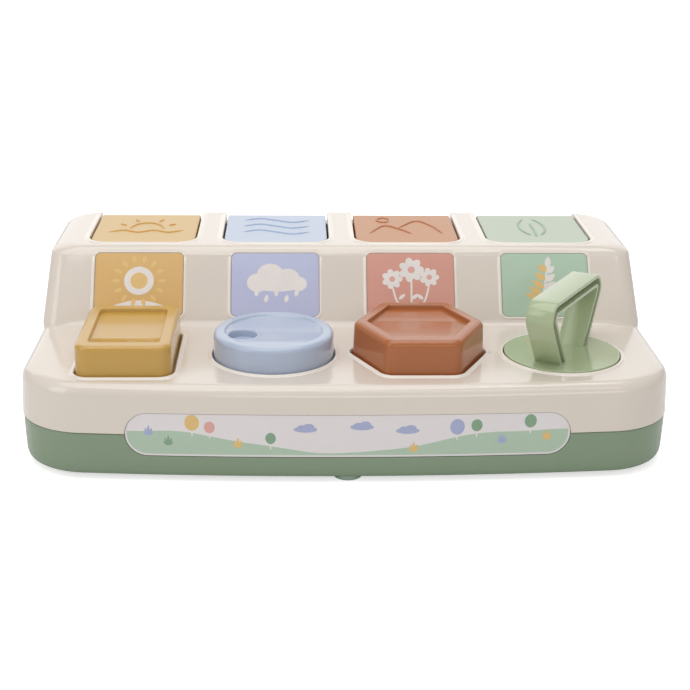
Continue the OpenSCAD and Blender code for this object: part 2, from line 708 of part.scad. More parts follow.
module latch(i) color(nylon) at_control(i) {
  rise_y = lid_front_y - 9.5 - control_y;
  well_y = lid_front_y - control_y;
  translate([0, 0, latch_z]) {
    difference() {
      translate([-latch_x, -11, 0]) cube([2 * latch_x, 28, latch_t]);
      translate([-window_x, window_front, -1]) cube([2 * window_x, window_rear - window_front, 10]);
    }
    translate([-3, -24, 0]) cube([6, 14, latch_t]);
    translate([-3, -25, 0]) cube([6, 2, 4]);
    translate([-8, 16, 0]) cube([16, rise_y - 13, latch_t]);
    translate([-8, rise_y, 0]) cube([16, 3, nose_z + 2 - latch_z]);
    for (s = [-1, 1]) translate([s * ramp_x, 0, 0]) side_view(4) polygon([
      [ramp_y - 5, latch_t - 0.1], [ramp_y + ramp_h + 0.1, latch_t - 0.1], [ramp_y, latch_t + ramp_h],
      [ramp_y - 5, latch_t + ramp_h]]);
  }
  // Nose through the well's front wall, sloped on top so that the hook rides over it
  side_view(10) polygon([
    [rise_y + 2, nose_z], [nose_tip - control_y, nose_z], [nose_tip - control_y, nose_z + 0.5],
    [nose_tip - control_y - 2, nose_z + 2], [rise_y + 2, nose_z + 2]]);
  translate([0, -25, latch_z + 2]) rotate([90, 0, 0]) cylinder(r = 0.9, h = 3);
}

module latch_spring(i) color(steel) at_control(i)
  translate([0, -25, latch_z + 2]) rotate([90, 0, 0]) coil(1.5, 0.35, 10.4, 7);

module control_plate() color(nylon) {
  y0 = front_y + 10;
  difference() {
    union() {
      translate([-132, y0, plate_top - plate_t]) cube([264, -9.5 - y0, plate_t]);
      for (i = [0:3]) at_control(i) {
        // Rails that guide the latch, each with a lip over it
        for (s = [-1, 1]) for (y = [-10, 6]) {
          translate([s * (latch_x + 1.2) - 1, y, plate_top - 0.1]) cube([2, 5, latch_t + 1.9]);
          translate([s * (latch_x + 0.2) - 1, y, latch_z + latch_t + slip]) cube([2, 5, 1.2]);
        }
        // Stop that carries the latch spring
        translate([-3.5, -37, plate_top - 0.1]) cube([7, 1.4, 4.4]);
        translate([0, -34.4, latch_z + 2]) rotate([90, 0, 0]) cylinder(r = 0.9, h = 2);
      }
      for (i = [1, 3]) at_control(i) translate([0, 0, plate_top - plate_t]) cylinder(r = 7, h = plate_t);
    }
    for (i = [1, 3]) at_control(i) translate([0, 0, 20]) cylinder(r = hub_r + 0.08, h = 20);
    for (p = plate_screw_places) translate([p[0], p[1], 20]) cylinder(r = 1.6, h = 20);
    for (p = case_screw_places) translate([p[0], p[1], 20]) cylinder(r = 4.2, h = 20);
  }
}

module plate_screws() color(steel) for (p = plate_screw_places)
  translate([p[0], p[1], plate_top - plate_t - 1.6]) screw_form(0.9, 2.8, 1.5, 10);

module case_screws() color(steel) for (p = case_screw_places)
  translate([p[0], p[1], foot_h + 8.4]) screw_form(1.05, 2.8, 1.55, 24);

module feet() color([0.35, 0.45, 0.36]) for (p = foot_places) translate([p[0], p[1], 0]) {
  rotate_extrude() union() {
    square([foot_r - 0.8, foot_h - 0.05]);
    translate([0, 0.8]) square([foot_r, foot_h - 0.85]);
    translate([foot_r - 0.8, 0.8]) circle(r = 0.8, $fn = 24);
  }
  cylinder(r = 4.95, h = foot_h + 1.15);
}

// Drawing ------------------------------------------------------------------------------------

upper_shell();
lower_shell();
front_label();
picture_card(0, [0.80, 0.68, 0.46]);  // picture_card_yellow
picture_card(1, [0.70, 0.71, 0.82]);  // picture_card_blue
picture_card(2, [0.79, 0.57, 0.51]);  // picture_card_pink
picture_card(3, [0.66, 0.74, 0.66]);  // picture_card_green
lid(0, yellow);  // lid_yellow
lid(1, blue);  // lid_blue
lid(2, orange);  // lid_orange
lid(3, mint);  // lid_green
lion_figure();
elephant_figure();
flamingo_figure();
giraffe_figure();
hinge_pin(0);  // hinge_pin_yellow
hinge_pin(1);  // hinge_pin_blue
hinge_pin(2);  // hinge_pin_orange
hinge_pin(3);  // hinge_pin_green
hinge_spring(0);  // hinge_spring_yellow
hinge_spring(1);  // hinge_spring_blue
hinge_spring(2);  // hinge_spring_orange
hinge_spring(3);  // hinge_spring_green
catch_tongue(0);  // catch_tongue_yellow
catch_tongue(1);  // catch_tongue_blue
catch_tongue(2);  // catch_tongue_orange
catch_tongue(3);  // catch_tongue_green
well(0);  // well_yellow
well(1);  // well_blue
well(2);  // well_orange
well(3);  // well_green
latch(0);  // latch_yellow
latch(1);  // latch_blue
latch(2);  // latch_orange
latch(3);  // latch_green
latch_spring(0);  // latch_spring_yellow
latch_spring(1);  // latch_spring_blue
latch_spring(2);  // latch_spring_orange
latch_spring(3);  // latch_spring_green
square_button();
dial();
hexagon_button();
turn_key();
button_springs(0);  // square_button_springs
button_springs(2);  // hexagon_button_springs
turn_spring(1);  // dial_spring
turn_spring(3);  // key_spring
washer(1);  // dial_washer
washer(3);  // key_washer
spindle_screw(1);  // dial_screw
spindle_screw(3);  // key_screw
control_plate();
plate_screws();
case_screws();
feet();
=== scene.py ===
import logging
from dataclasses import dataclass, field
from enum import Enum
from functools import cache
from math import acos, atan2, cos, pi, radians, sin, sqrt, tan
from typing import Callable

import bmesh
import bpy
import numpy as np
from mathutils import Matrix, Vector


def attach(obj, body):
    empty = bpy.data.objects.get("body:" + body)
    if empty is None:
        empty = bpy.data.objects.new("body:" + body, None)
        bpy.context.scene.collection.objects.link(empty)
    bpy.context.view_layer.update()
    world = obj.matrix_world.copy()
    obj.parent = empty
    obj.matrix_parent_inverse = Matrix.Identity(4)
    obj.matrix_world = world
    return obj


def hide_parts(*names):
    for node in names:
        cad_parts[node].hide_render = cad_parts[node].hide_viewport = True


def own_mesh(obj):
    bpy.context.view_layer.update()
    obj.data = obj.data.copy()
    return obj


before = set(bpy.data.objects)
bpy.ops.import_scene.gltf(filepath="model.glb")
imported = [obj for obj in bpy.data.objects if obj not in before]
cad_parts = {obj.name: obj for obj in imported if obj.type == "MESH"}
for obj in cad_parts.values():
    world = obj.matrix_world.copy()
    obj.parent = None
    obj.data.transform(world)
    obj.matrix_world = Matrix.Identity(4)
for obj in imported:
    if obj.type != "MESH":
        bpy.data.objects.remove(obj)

logging.basicConfig(level=logging.INFO, format="%(message)s")
log = logging.getLogger("pop_up_toy")

Array = np.ndarray
MM = 0.001
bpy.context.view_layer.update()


# Sizes shared by the sub-assemblies, in millimetres -----------------------------------------------

@dataclass(frozen=True)
class Body:
    """Main sizes of the housing, in millimetres.

    They are the CAD model's, but for the block's sides, their upper edges and its rear corners,
    which are set a little closer to the picture and stay inside the CAD model's box.
    """

    width: float = 310.0
    depth: float = 189.0
    corner_r: float = 34.0
    rear_corner_r: float = 22.0
    front_bow: float = 4.9
    wall: float = 2.6
    seam_z: float = 23.8
    deck_z: float = 47.2
    top_z: float = 82.2
    deck_edge_r: float = 6.5
    top_edge_r: float = 4.0
    side_edge_r: float = 10.6
    riser_y: float = -5.9
    riser_angle: float = radians(55.5)
    side_draft: float = 0.7
    side_lean: float = 3.1
    rear_lean: float = 1.0
    rear_corner_lean: float = 5.0
    block_r: float = 9.0
    control_y: float = -47.6
    lid_w: float = 55.0
    lid_front_y: float = 26.2
    hinge_y: float = 82.2
    barrel_r: float = 5.0
    lid_t: float = 3.0
    lid_corner_r: float = 10.0
    dial_r: float = 28.9
    key_r: float = 27.9
    skirt_h: float = 2.0
    card_lift: float = 5.0
    label_half_w: float = 102.9
    label_half_h: float = 10.4
    label_inset: float = 0.75
    label_seat: float = 0.55
    label_gap: float = 0.3

    @property
    def corner_x(self) -> float:
        """Distance from the middle to the centre of a front corner."""
        return self.width / 2 - self.corner_r

    @property
    def bow_r(self) -> float:
        """Radius of the bowed front."""
        return (self.corner_x ** 2 + self.front_bow ** 2) / (2 * self.front_bow)

    @property
    def corner_y(self) -> float:
        """Front to rear place of a front corner's centre."""
        reach = self.bow_r - self.corner_r
        return -self.depth / 2 + self.bow_r - sqrt(reach ** 2 - self.corner_x ** 2)

    @property
    def bow_angle(self) -> float:
        """Direction in which the left corner's arc meets the bow."""
        return atan2(self.corner_y + self.depth / 2 - self.bow_r, -self.corner_x) + 2 * pi

    @property
    def hinge_z(self) -> float:
        """Height of the hinge axis."""
        return self.top_z - self.barrel_r

    @property
    def skirt_z(self) -> float:
        """Height of the lower edge of a control's skirt, under the deck's wall."""
        return self.deck_z - self.wall - self.skirt_h

    @property
    def label_r(self) -> float:
        """Radius of the label's face in the bowed front."""
        return self.bow_r - self.label_inset

    def riser_at(self, z: float) -> float:
        """Front to rear place of the riser's plane at height z."""
        return self.riser_y + (z - self.deck_z) / tan(self.riser_angle)

    def block_reach(self, z: float, in_y: float, in_x: float) -> tuple[float, float, float]:
        """Half width, rear edge and rear corner radius of the upper block at height z, moved in."""
        lean = max(0.0, (z - self.deck_z) / (self.top_z - self.deck_z))
        return (self.width / 2 - self.side_draft - self.side_lean * lean - in_x,
                self.depth / 2 - self.side_draft - self.rear_lean * lean - in_y,
                self.rear_corner_r - self.side_draft - self.rear_corner_lean * lean
                - min(in_x, in_y))


B = Body()
COLUMNS = (-105.0, -35.0, 35.0, 105.0)
CREASE = 32.0
WELD = 2e-7
CARVED_WELD = 1e-6


# Surfaces ---------------------------------------------------------------------------------------

@dataclass
class Skin:
    """One closed surface: points in millimetres, four-cornered faces and many-cornered caps."""

    points: Array
    quads: Array
    caps: list[list[int]] = field(default_factory=list)
    tone: int = 0

    def volume(self) -> float:
        """Signed volume, as the sum over triangles of corner . (corner x corner) / 6."""
        fans = [self.quads[:, (0, 1, 2)], self.quads[:, (0, 2, 3)]]
        for cap in self.caps:
            ring = np.array(cap)
            fans.append(np.stack([np.full(len(ring) - 2, ring[0]), ring[1:-1], ring[2:]], -1))
        tri = self.points[np.concatenate(fans)]
        return float(np.einsum("ij,ij->", tri[:, 0], np.cross(tri[:, 1], tri[:, 2]))) / 6

    def outward(self) -> "Skin":
        """Turns every face round where the volume comes out negative."""
        if self.volume() < 0:
            self.quads = self.quads[:, ::-1]
            self.caps = [cap[::-1] for cap in self.caps]
        return self

    def placed(self, spot: Array) -> "Skin":
        """The same surface moved by a vector in millimetres."""
        self.points = self.points + np.asarray(spot, float)
        return self

    def mapped(self, matrix: Array, spot: Array) -> "Skin":
        """The same surface turned by a 3 x 3 matrix and then moved."""
        self.points = self.points @ np.asarray(matrix, float).T + np.asarray(spot, float)
        return self


def loft(rings: Array, wrap: bool = False, tone: int = 0) -> Skin:
    """Skins rings of points: point i of ring k is joined to its neighbours (k, i + 1), (k + 1, i).

    Args:
        rings: array (rings, points, 3), each ring closed on itself.
        wrap: joins the last ring to the first instead of closing both ends with a cap.
        tone: index of the material that the surface takes.

    Returns:
        The closed surface, its faces pointing outwards.
    """
    rings = np.asarray(rings, float)
    count, size = rings.shape[:2]
    k, i = np.meshgrid(np.arange(count if wrap else count - 1), np.arange(size), indexing="ij")
    up, on = (k + 1) % count, (i + 1) % size
    quads = np.stack([k * size + i, k * size + on, up * size + on, up * size + i], -1)
    caps = []
    if not wrap:
        caps = [list(range(size))[::-1], list(range((count - 1) * size, count * size))]
    return Skin(rings.reshape(-1, 3), quads.reshape(-1, 4), caps, tone).outward()


def swept(outline: Callable[[float], Array], profile: list[tuple], wrap: bool = False) -> Skin:
    """Skin through the outline moved out by d, at height z, for each (d, z) of a profile."""
    return loft(np.array([raised(outline(d), z) for d, z in profile]), wrap)


def arc(x: float, y: float, r: float, a0: float, a1: float, steps: int) -> Array:
    """Arc of a circle: centre + r (cos a, sin a), a in even steps from a0 to a1 degrees."""
    a = np.radians(np.linspace(a0, a1, steps + 1))
    return np.stack([x + r * np.cos(a), y + r * np.sin(a)], -1)


def circle(r: float, steps: int = 128, x: float = 0.0, y: float = 0.0) -> Array:
    """Points of a full circle without its doubled end."""
    return arc(x, y, r, 0, 360, steps)[:-1]


def quarter(r: float, steps: int, last: float = 90) -> list[tuple[float, float]]:
    """Points of a fillet: (r (1 - cos a), r (1 - sin a)), a in even steps up to last degrees."""
    return [(r * (1 - cos(a)), r * (1 - sin(a))) for a in np.radians(np.linspace(0, last, steps))]


def unit(vectors: Array) -> Array:
    """Vectors, one in each row, scaled to length one."""
    return vectors / np.linalg.norm(vectors, axis=1, keepdims=True)


def corner_frame(corners: Array) -> tuple[Array, Array, Array]:
    """At each corner, unit vectors to the one before and inwards, and half of the angle."""
    u, v = unit(np.roll(corners, 1, 0) - corners), unit(np.roll(corners, -1, 0) - corners)
    return u, unit(u + v), np.arccos(np.clip((u * v).sum(1), -1, 1)) / 2


def grow(corners: Array, out: float) -> Array:
    """Convex polygon with its edges moved out: each corner goes out by out / sin(half angle)."""
    _, mid, half = corner_frame(corners)
    return corners - mid * out / np.sin(half)[:, None]


def rounded(corners: Array, radii: Array, steps: int = 12, along: int = 1) -> Array:
    """Convex polygon with round corners.

    Each corner's arc is centred at corner + bisector * r / sin(half angle), and turns by half a
    turn less the corner's angle. The straight edges may be cut into even pieces.

    Args:
        corners: corners, counter-clockwise.
        radii: one radius for each corner.
        steps: steps along an arc.
        along: pieces that each straight edge is cut into.

    Returns:
        The outline, counter-clockwise.
    """
    u, mid, half = corner_frame(corners)
    radii = np.asarray(radii, float)
    centre = corners + mid * (radii / np.sin(half))[:, None]
    start = corners + u * (radii / np.tan(half))[:, None] - centre
    turn = np.arctan2(start[:, 1], start[:, 0])[:, None] + np.outer(
        pi - 2 * half, np.linspace(0, 1, steps + 1))
    arcs = centre[:, None] + radii[:, None, None] * np.stack([np.cos(turn), np.sin(turn)], -1)
    if along > 1:
        t = np.linspace(0, 1, along + 1)[1:-1, None]
        ends, nexts = arcs[:, -1][:, None], np.roll(arcs[:, 0], -1, 0)[:, None]
        arcs = np.concatenate([arcs, ends + (nexts - ends) * t], axis=1)
    return arcs.reshape(-1, 2)


def box_corners(x0: float, y0: float, x1: float, y1: float) -> Array:
    """Corners of a rectangle, counter-clockwise."""
    return np.array([[x0, y0], [x1, y0], [x1, y1], [x0, y1]], float)


def raised(outline: Array, z: float | Array) -> Array:
    """A flat outline at height z, or at one height for each point."""
    return np.column_stack([outline, np.broadcast_to(z, len(outline))])


def smooth_step(t: Array) -> Array:
    """3 t^2 - 2 t^3 of t held between 0 and 1."""
    t = np.clip(t, 0, 1)
    return t * t * (3 - 2 * t)


def soft_min(a: Array, b: Array, blend: float) -> Array:
    """The smaller of a and b, rounded off where they differ by less than blend."""
    h = np.clip(0.5 + 0.5 * (b - a) / blend, 0, 1)
    return b + (a - b) * h - blend * h * (1 - h)


def turned_profile(profile: Array, steps: int, wrap: bool = False) -> Skin:
    """Solid of revolution about Z: each (r, z) of the profile becomes a circle at height z."""
    a = np.linspace(0, 2 * pi, steps, endpoint=False)
    around = np.stack([np.cos(a), np.sin(a)], -1)
    return swept(lambda r: around * r, profile, wrap)


def ball(x: float, y: float, z: float, rx: float, ry: float, rz: float, steps: int = 32,
         tone: int = 0) -> Skin:
    """Ellipsoid: (rx sin v cos u, ry sin v sin u, rz cos v), closed by small caps at the poles."""
    v = np.linspace(0.02, pi - 0.02, steps)[:, None]
    u = np.linspace(0, 2 * pi, 2 * steps, endpoint=False)[None]
    rings = np.stack([x + rx * np.sin(v) * np.cos(u), y + ry * np.sin(v) * np.sin(u),
                      z + rz * np.cos(v) * np.ones_like(u)], -1)
    return loft(rings, tone=tone)


def path_sides(path: Array) -> Array:
    """Unit vectors to the left of a flat path, at each of its points."""
    ahead = unit(np.gradient(path, axis=0))
    return np.column_stack([-ahead[:, 1], ahead[:, 0]])


def tube_along(path: Array, radii: Array, steps: int = 20, tone: int = 0) -> Skin:
    """Tube round a path: each ring is point + r (cos a side + sin a up), in the path's own frame.

    Args:
        path: points (n, 3).
        radii: one radius for each point.
        steps: points round the tube.
        tone: index of the material.

    Returns:
        The closed tube.
    """
    ahead = unit(np.gradient(path, axis=0))
    along_y = abs(ahead[:, 1]).max() >= 0.9
    side = unit(np.cross(ahead, [1.0, 0.0, 0.0] if along_y else [0.0, 1.0, 0.0]))
    up = np.cross(side, ahead)
    a = np.linspace(0, 2 * pi, steps, endpoint=False)[None, :, None]
    r = np.broadcast_to(np.asarray(radii, float), len(path))[:, None, None]
    rings = path[:, None] + r * (np.cos(a) * side[:, None] + np.sin(a) * up[:, None])
    return loft(rings, tone=tone)


def smooth_path(points: Array, steps: int) -> Array:
    """Catmull-Rom curve through the points, in even steps of its parameter."""
    p = np.asarray(points, float)
    p = np.vstack([2 * p[0] - p[1], p, 2 * p[-1] - p[-2]])
    t = np.linspace(0, len(p) - 3 - 1e-9, steps)
    k, f = t.astype(int), (t % 1)[:, None]
    a, b, c, d = p[k], p[k + 1], p[k + 2], p[k + 3]
    return 0.5 * (2 * b + (c - a) * f + (2 * a - 5 * b + 4 * c - d) * f ** 2
                  + (3 * b - a - 3 * c + d) * f ** 3)


def limb(points: list, radii: Array, steps: int, sides: int = 20, tone: int = 0) -> Skin:
    """Tube along a smooth curve through the points."""
    return tube_along(smooth_path(points, steps), radii, sides, tone)


def new_object(name: str, data: bpy.types.ID) -> bpy.types.Object:
    """A new object, linked to the scene."""
    made = bpy.data.objects.new(name, data)
    bpy.context.scene.collection.objects.link(made)
    return made


def settled(host: bpy.types.Object, name: str) -> bpy.types.Mesh:
    """The object's mesh with its modifiers applied; the object itself goes."""
    mesh = bpy.data.meshes.new_from_object(
        host.evaluated_get(bpy.context.evaluated_depsgraph_get()))
    mesh.name = name
    bpy.data.objects.remove(host)
    return mesh


def make_mesh(name: str, skins: list[Skin], crease: float = CREASE) -> bpy.types.Mesh:
    """Puts surfaces into one mesh, in metres, smooth but for edges sharper than crease degrees."""
    points, faces, tones, base = [], [], [], 0
    for skin in skins:
        points.append(skin.points)
        faces += (skin.quads + base).tolist() + [[base + p for p in cap] for cap in skin.caps]
        tones += [skin.tone] * (len(skin.quads) + len(skin.caps))
        base += len(skin.points)
    mesh = bpy.data.meshes.new(name)
    mesh.from_pydata((np.concatenate(points) * MM).tolist(), [], faces)
    mesh.polygons.foreach_set("material_index", tones)
    tidy_mesh(mesh, crease, WELD)
    return mesh


def tidy_mesh(mesh: bpy.types.Mesh, crease: float, weld: float) -> None:
    """Welds doubled points, drops faces without area and marks the creases."""
    work = bmesh.new()
    work.from_mesh(mesh)
    bmesh.ops.remove_doubles(work, verts=work.verts, dist=weld)
    bmesh.ops.dissolve_degenerate(work, edges=work.edges, dist=weld)
    work.to_mesh(mesh)
    work.free()
    mesh.polygons.foreach_set("use_smooth", [True] * len(mesh.polygons))
    mesh.set_sharp_from_angle(angle=radians(crease))
    mesh.update()


def carved(name: str, solid: bpy.types.Mesh, cutters: list[bpy.types.Mesh]) -> bpy.types.Mesh:
    """Takes each cutter's volume out of the solid, in turn, by exact Booleans."""
    host = new_object("carving", solid)
    tools = [new_object("cutter", cutter) for cutter in cutters]
    for tool in tools:
        step = host.modifiers.new("cut", "BOOLEAN")
        step.operation, step.solver, step.object = "DIFFERENCE", "EXACT", tool
    mesh = settled(host, name)
    for tool in tools:
        bpy.data.objects.remove(tool)
    mesh.polygons.foreach_set("material_index", [0] * len(mesh.polygons))
    tidy_mesh(mesh, CREASE, CARVED_WELD)
    return mesh


def add_piece(mesh: bpy.types.Mesh, finishes: list["Finish"], body: str, slot: str,
              *replaces: str) -> bpy.types.Object:
    """Makes a piece of a mesh, under the mesh's name, and fixes it to the frame.

    Args:
        mesh: its mesh, in place and in metres.
        finishes: its finishes, in the order of the mesh's material indices.
        body: the CAD body it rides on.
        slot: not used.
        replaces: CAD nodes that it stands for.

    Returns:
        The new object.
    """
    piece = new_object(mesh.name, mesh)
    for k, finish in enumerate(finishes):
        if k < len(mesh.materials):
            mesh.materials[k] = finish.material
        else:
            mesh.materials.append(finish.material)
    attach(piece, body)
    if replaces:
        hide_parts(*replaces)
    log.info("%s: %d faces, rides on %s", piece.name, len(mesh.polygons), body)
    return piece


# Finishes ---------------------------------------------------------------------------------------

def colour(code: str) -> tuple[float, float, float, float]:
    """A colour written as sRGB hex digits, turned into linear light."""
    parts = [int(code[i:i + 2], 16) / 255 for i in (0, 2, 4)]
    lin = [p / 12.92 if p <= 0.04045 else ((p + 0.055) / 1.055) ** 2.4 for p in parts]
    return (*lin, 1.0)


def feed(tree: bpy.types.NodeTree, node: bpy.types.Node, inputs: dict) -> bpy.types.Node:
    """Links each input of a node, by its name or place, to a socket, or sets it to a value."""
    for key, value in inputs.items():
        if isinstance(value, bpy.types.NodeSocket):
            tree.links.new(value, node.inputs[key])
        else:
            node.inputs[key].default_value = value
    return node


def node_in(tree: bpy.types.NodeTree, kind: str, inputs: dict) -> bpy.types.Node:
    """A new node with its inputs fed."""
    return feed(tree, tree.nodes.new(kind), inputs)


class ShaderGroup:
    """A shader group in the making, on object coordinates, with colour, roughness and height."""

    OUTPUTS = {"Color": "NodeSocketColor", "Roughness": "NodeSocketFloat",
               "Height": "NodeSocketFloat"}

    def __init__(self, name: str, inputs: dict[str, float | tuple]) -> None:
        """Makes the group and its sockets; an input whose value is a tuple is a colour."""
        self.tree = bpy.data.node_groups.new(name, "ShaderNodeTree")
        for label, value in inputs.items():
            kind = "NodeSocketColor" if isinstance(value, tuple) else "NodeSocketFloat"
            socket = self.tree.interface.new_socket(label, in_out="INPUT", socket_type=kind)
            socket.default_value = value
        for label, kind in self.OUTPUTS.items():
            self.tree.interface.new_socket(label, in_out="OUTPUT", socket_type=kind)
        self.given = self.tree.nodes.new("NodeGroupInput").outputs
        self.coords = self.tree.nodes.new("ShaderNodeTexCoord").outputs["Object"]

    def noise(self, scale: object, detail: float, rough: float = 0.5) -> bpy.types.NodeSocket:
        """A noise texture's factor; the scale is a number or a socket."""
        return node_in(self.tree, "ShaderNodeTexNoise", {
            "Scale": scale, "Detail": detail, "Roughness": rough, "Vector": self.coords}
            ).outputs["Fac"]

    def math(self, kind: str, *values: object) -> bpy.types.NodeSocket:
        """Result of a Math node whose inputs are sockets or numbers."""
        node = self.tree.nodes.new("ShaderNodeMath")
        node.operation = kind
        return feed(self.tree, node, dict(enumerate(values))).outputs[0]

    def around(self, middle: bpy.types.NodeSocket, spread: object, level: object
               ) -> bpy.types.NodeSocket:
        """(value - 0.5) spread + level, for a value between 0 and 1."""
        return self.math("MULTIPLY_ADD", self.math("SUBTRACT", middle, 0.5), spread, level)

    def shaded(self, factor: bpy.types.NodeSocket) -> bpy.types.NodeSocket:
        """The group's colour times a factor."""
        tint = self.tree.nodes.new("ShaderNodeVectorMath")
        tint.operation = "SCALE"
        return feed(self.tree, tint, {0: self.given["Color"], "Scale": factor}).outputs["Vector"]

    def closed(self, *results: bpy.types.NodeSocket) -> bpy.types.NodeTree:
        """Links the colour, roughness and height to the group's outputs."""
        node_in(self.tree, "NodeGroupOutput", dict(zip(self.OUTPUTS, results)))
        return self.tree


@cache
def moulded_skin() -> bpy.types.NodeTree:
    """Moulded plastic: slow drift of tone, fine orange-peel height, uneven gloss, worn edges."""
    group = ShaderGroup("moulded_skin", {
        "Color": (0.8, 0.8, 0.8, 1), "Edge color": (0.9, 0.9, 0.9, 1), "Drift": 0.05,
        "Wear": 0.2, "Gloss": 0.3, "Gloss spread": 0.06, "Grain": 900.0})
    given, math = group.given, group.math
    slow = group.noise(scale=9.0, detail=2.0)
    mottle = group.noise(scale=60.0, detail=4.0, rough=0.6)
    drift = math("MULTIPLY_ADD", slow, 0.7, math("MULTIPLY", mottle, 0.3))
    tint = group.shaded(group.around(drift, given["Drift"], 1.0))
    pointy = group.tree.nodes.new("ShaderNodeNewGeometry").outputs["Pointiness"]
    edge = node_in(group.tree, "ShaderNodeMapRange", {
        "From Min": 0.52, "From Max": 0.62, "Value": pointy}).outputs["Result"]
    worn = math("MULTIPLY", math("MULTIPLY", edge, mottle), given["Wear"])
    mix = group.tree.nodes.new("ShaderNodeMix")
    mix.data_type = "RGBA"
    feed(group.tree, mix, {"Factor": worn, "A": tint, "B": given["Edge color"]})
    return group.closed(mix.outputs["Result"],
                        group.around(mottle, given["Gloss spread"], given["Gloss"]),
                        group.noise(scale=given["Grain"], detail=3.0, rough=0.55))


@cache
def drawn_steel() -> bpy.types.NodeTree:
    """Drawn steel: fine streaks as height, and spots that change tone and roughness a little."""
    group = ShaderGroup("drawn_steel", {"Color": (0.6, 0.6, 0.62, 1)})
    spots = group.noise(scale=240.0, detail=3.0)
    return group.closed(group.shaded(group.math("MULTIPLY_ADD", spots, 0.25, 0.87)),
                        group.math("MULTIPLY_ADD", spots, 0.2, 0.2),
                        group.noise(scale=2200.0, detail=2.0))


@cache
def printed_film() -> bpy.types.NodeTree:
    """Printed film: fine linen-like paper tooth and a slight unevenness of the ink."""
    group = ShaderGroup("printed_film", {"Color": (0.8, 0.8, 0.8, 1), "Ink": 0.12, "Gloss": 0.42})
    tooth = group.noise(scale=1500.0, detail=3.0, rough=0.7)
    wash = group.noise(scale=120.0, detail=5.0, rough=0.65)
    both = group.math("MULTIPLY_ADD", tooth, 0.5, group.math("MULTIPLY", wash, 0.5))
    return group.closed(group.shaded(group.around(both, group.given["Ink"], 1.0)),
                        group.around(both, 0.15, group.given["Gloss"]), tooth)


def dressed(name: str, group: bpy.types.NodeTree, inputs: dict[str, object], bump: float,
            constants: dict[str, float]) -> bpy.types.Material:
    """A material: a shared group feeds Base Color, Roughness and, by a Bump node, Normal.

    Args:
        name: the material's name.
        group: the shared node group.
        inputs: values of the group's inputs.
        bump: height of the relief, in metres.
        constants: values set on the shader's own sockets.

    Returns:
        The material.
    """
    material = bpy.data.materials.new(name)
    material.use_nodes = True
    tree = material.node_tree
    node = tree.nodes.new("ShaderNodeGroup")
    node.node_tree = group
    given = feed(tree, node, inputs).outputs
    relief = node_in(tree, "ShaderNodeBump", {
        "Strength": 1.0, "Distance": bump, "Height": given["Height"]})
    shader = next(n for n in tree.nodes if n.type == "BSDF_PRINCIPLED")
    feed(tree, shader, {"Normal": relief.outputs["Normal"], "Base Color": given["Color"],
                        "Roughness": given["Roughness"], **constants})
    return material


@dataclass(frozen=True)
class Plastic:
    """A moulded plastic: its colour, gloss and how far tone, gloss and edges vary."""

    name: str
    tone: str
    gloss: float = 0.3
    drift: float = 0.05
    wear: float = 0.05
    grain: float = 500.0
    bump: float = 0.000002
    coat: float = 0.0
    paling: float = 0.35
    spread: float = 0.05

    def make(self) -> bpy.types.Material:
        """Builds the material; a worn edge is paler by c + (1 - c) paling."""
        base = colour(self.tone)
        pale = tuple(c + (1 - c) * self.paling for c in base[:3]) + (1.0,)
        return dressed(self.name, moulded_skin(), {
            "Color": base, "Edge color": pale, "Drift": self.drift, "Wear": self.wear,
            "Gloss": self.gloss, "Gloss spread": self.spread, "Grain": self.grain}, self.bump,
            {"IOR": 1.47, "Coat Weight": self.coat, "Coat Roughness": 0.08})


@dataclass(frozen=True)
class Film:
    """Printed film or card: its colour and gloss."""

    name: str
    tone: str
    gloss: float = 0.42
    ink: float = 0.12
    bump: float = 0.000008

    def make(self) -> bpy.types.Material:
        """Builds the material."""
        return dressed(self.name, printed_film(), {
            "Color": colour(self.tone), "Ink": self.ink, "Gloss": self.gloss}, self.bump,
            {"IOR": 1.45})


@dataclass(frozen=True)
class Steel:
    """Drawn or turned steel."""

    name: str
    tone: str = "B9BBBE"
    bump: float = 0.000004

    def make(self) -> bpy.types.Material:
        """Builds the material."""
        return dressed(self.name, drawn_steel(), {"Color": colour(self.tone)}, self.bump,
                       {"Metallic": 1.0})


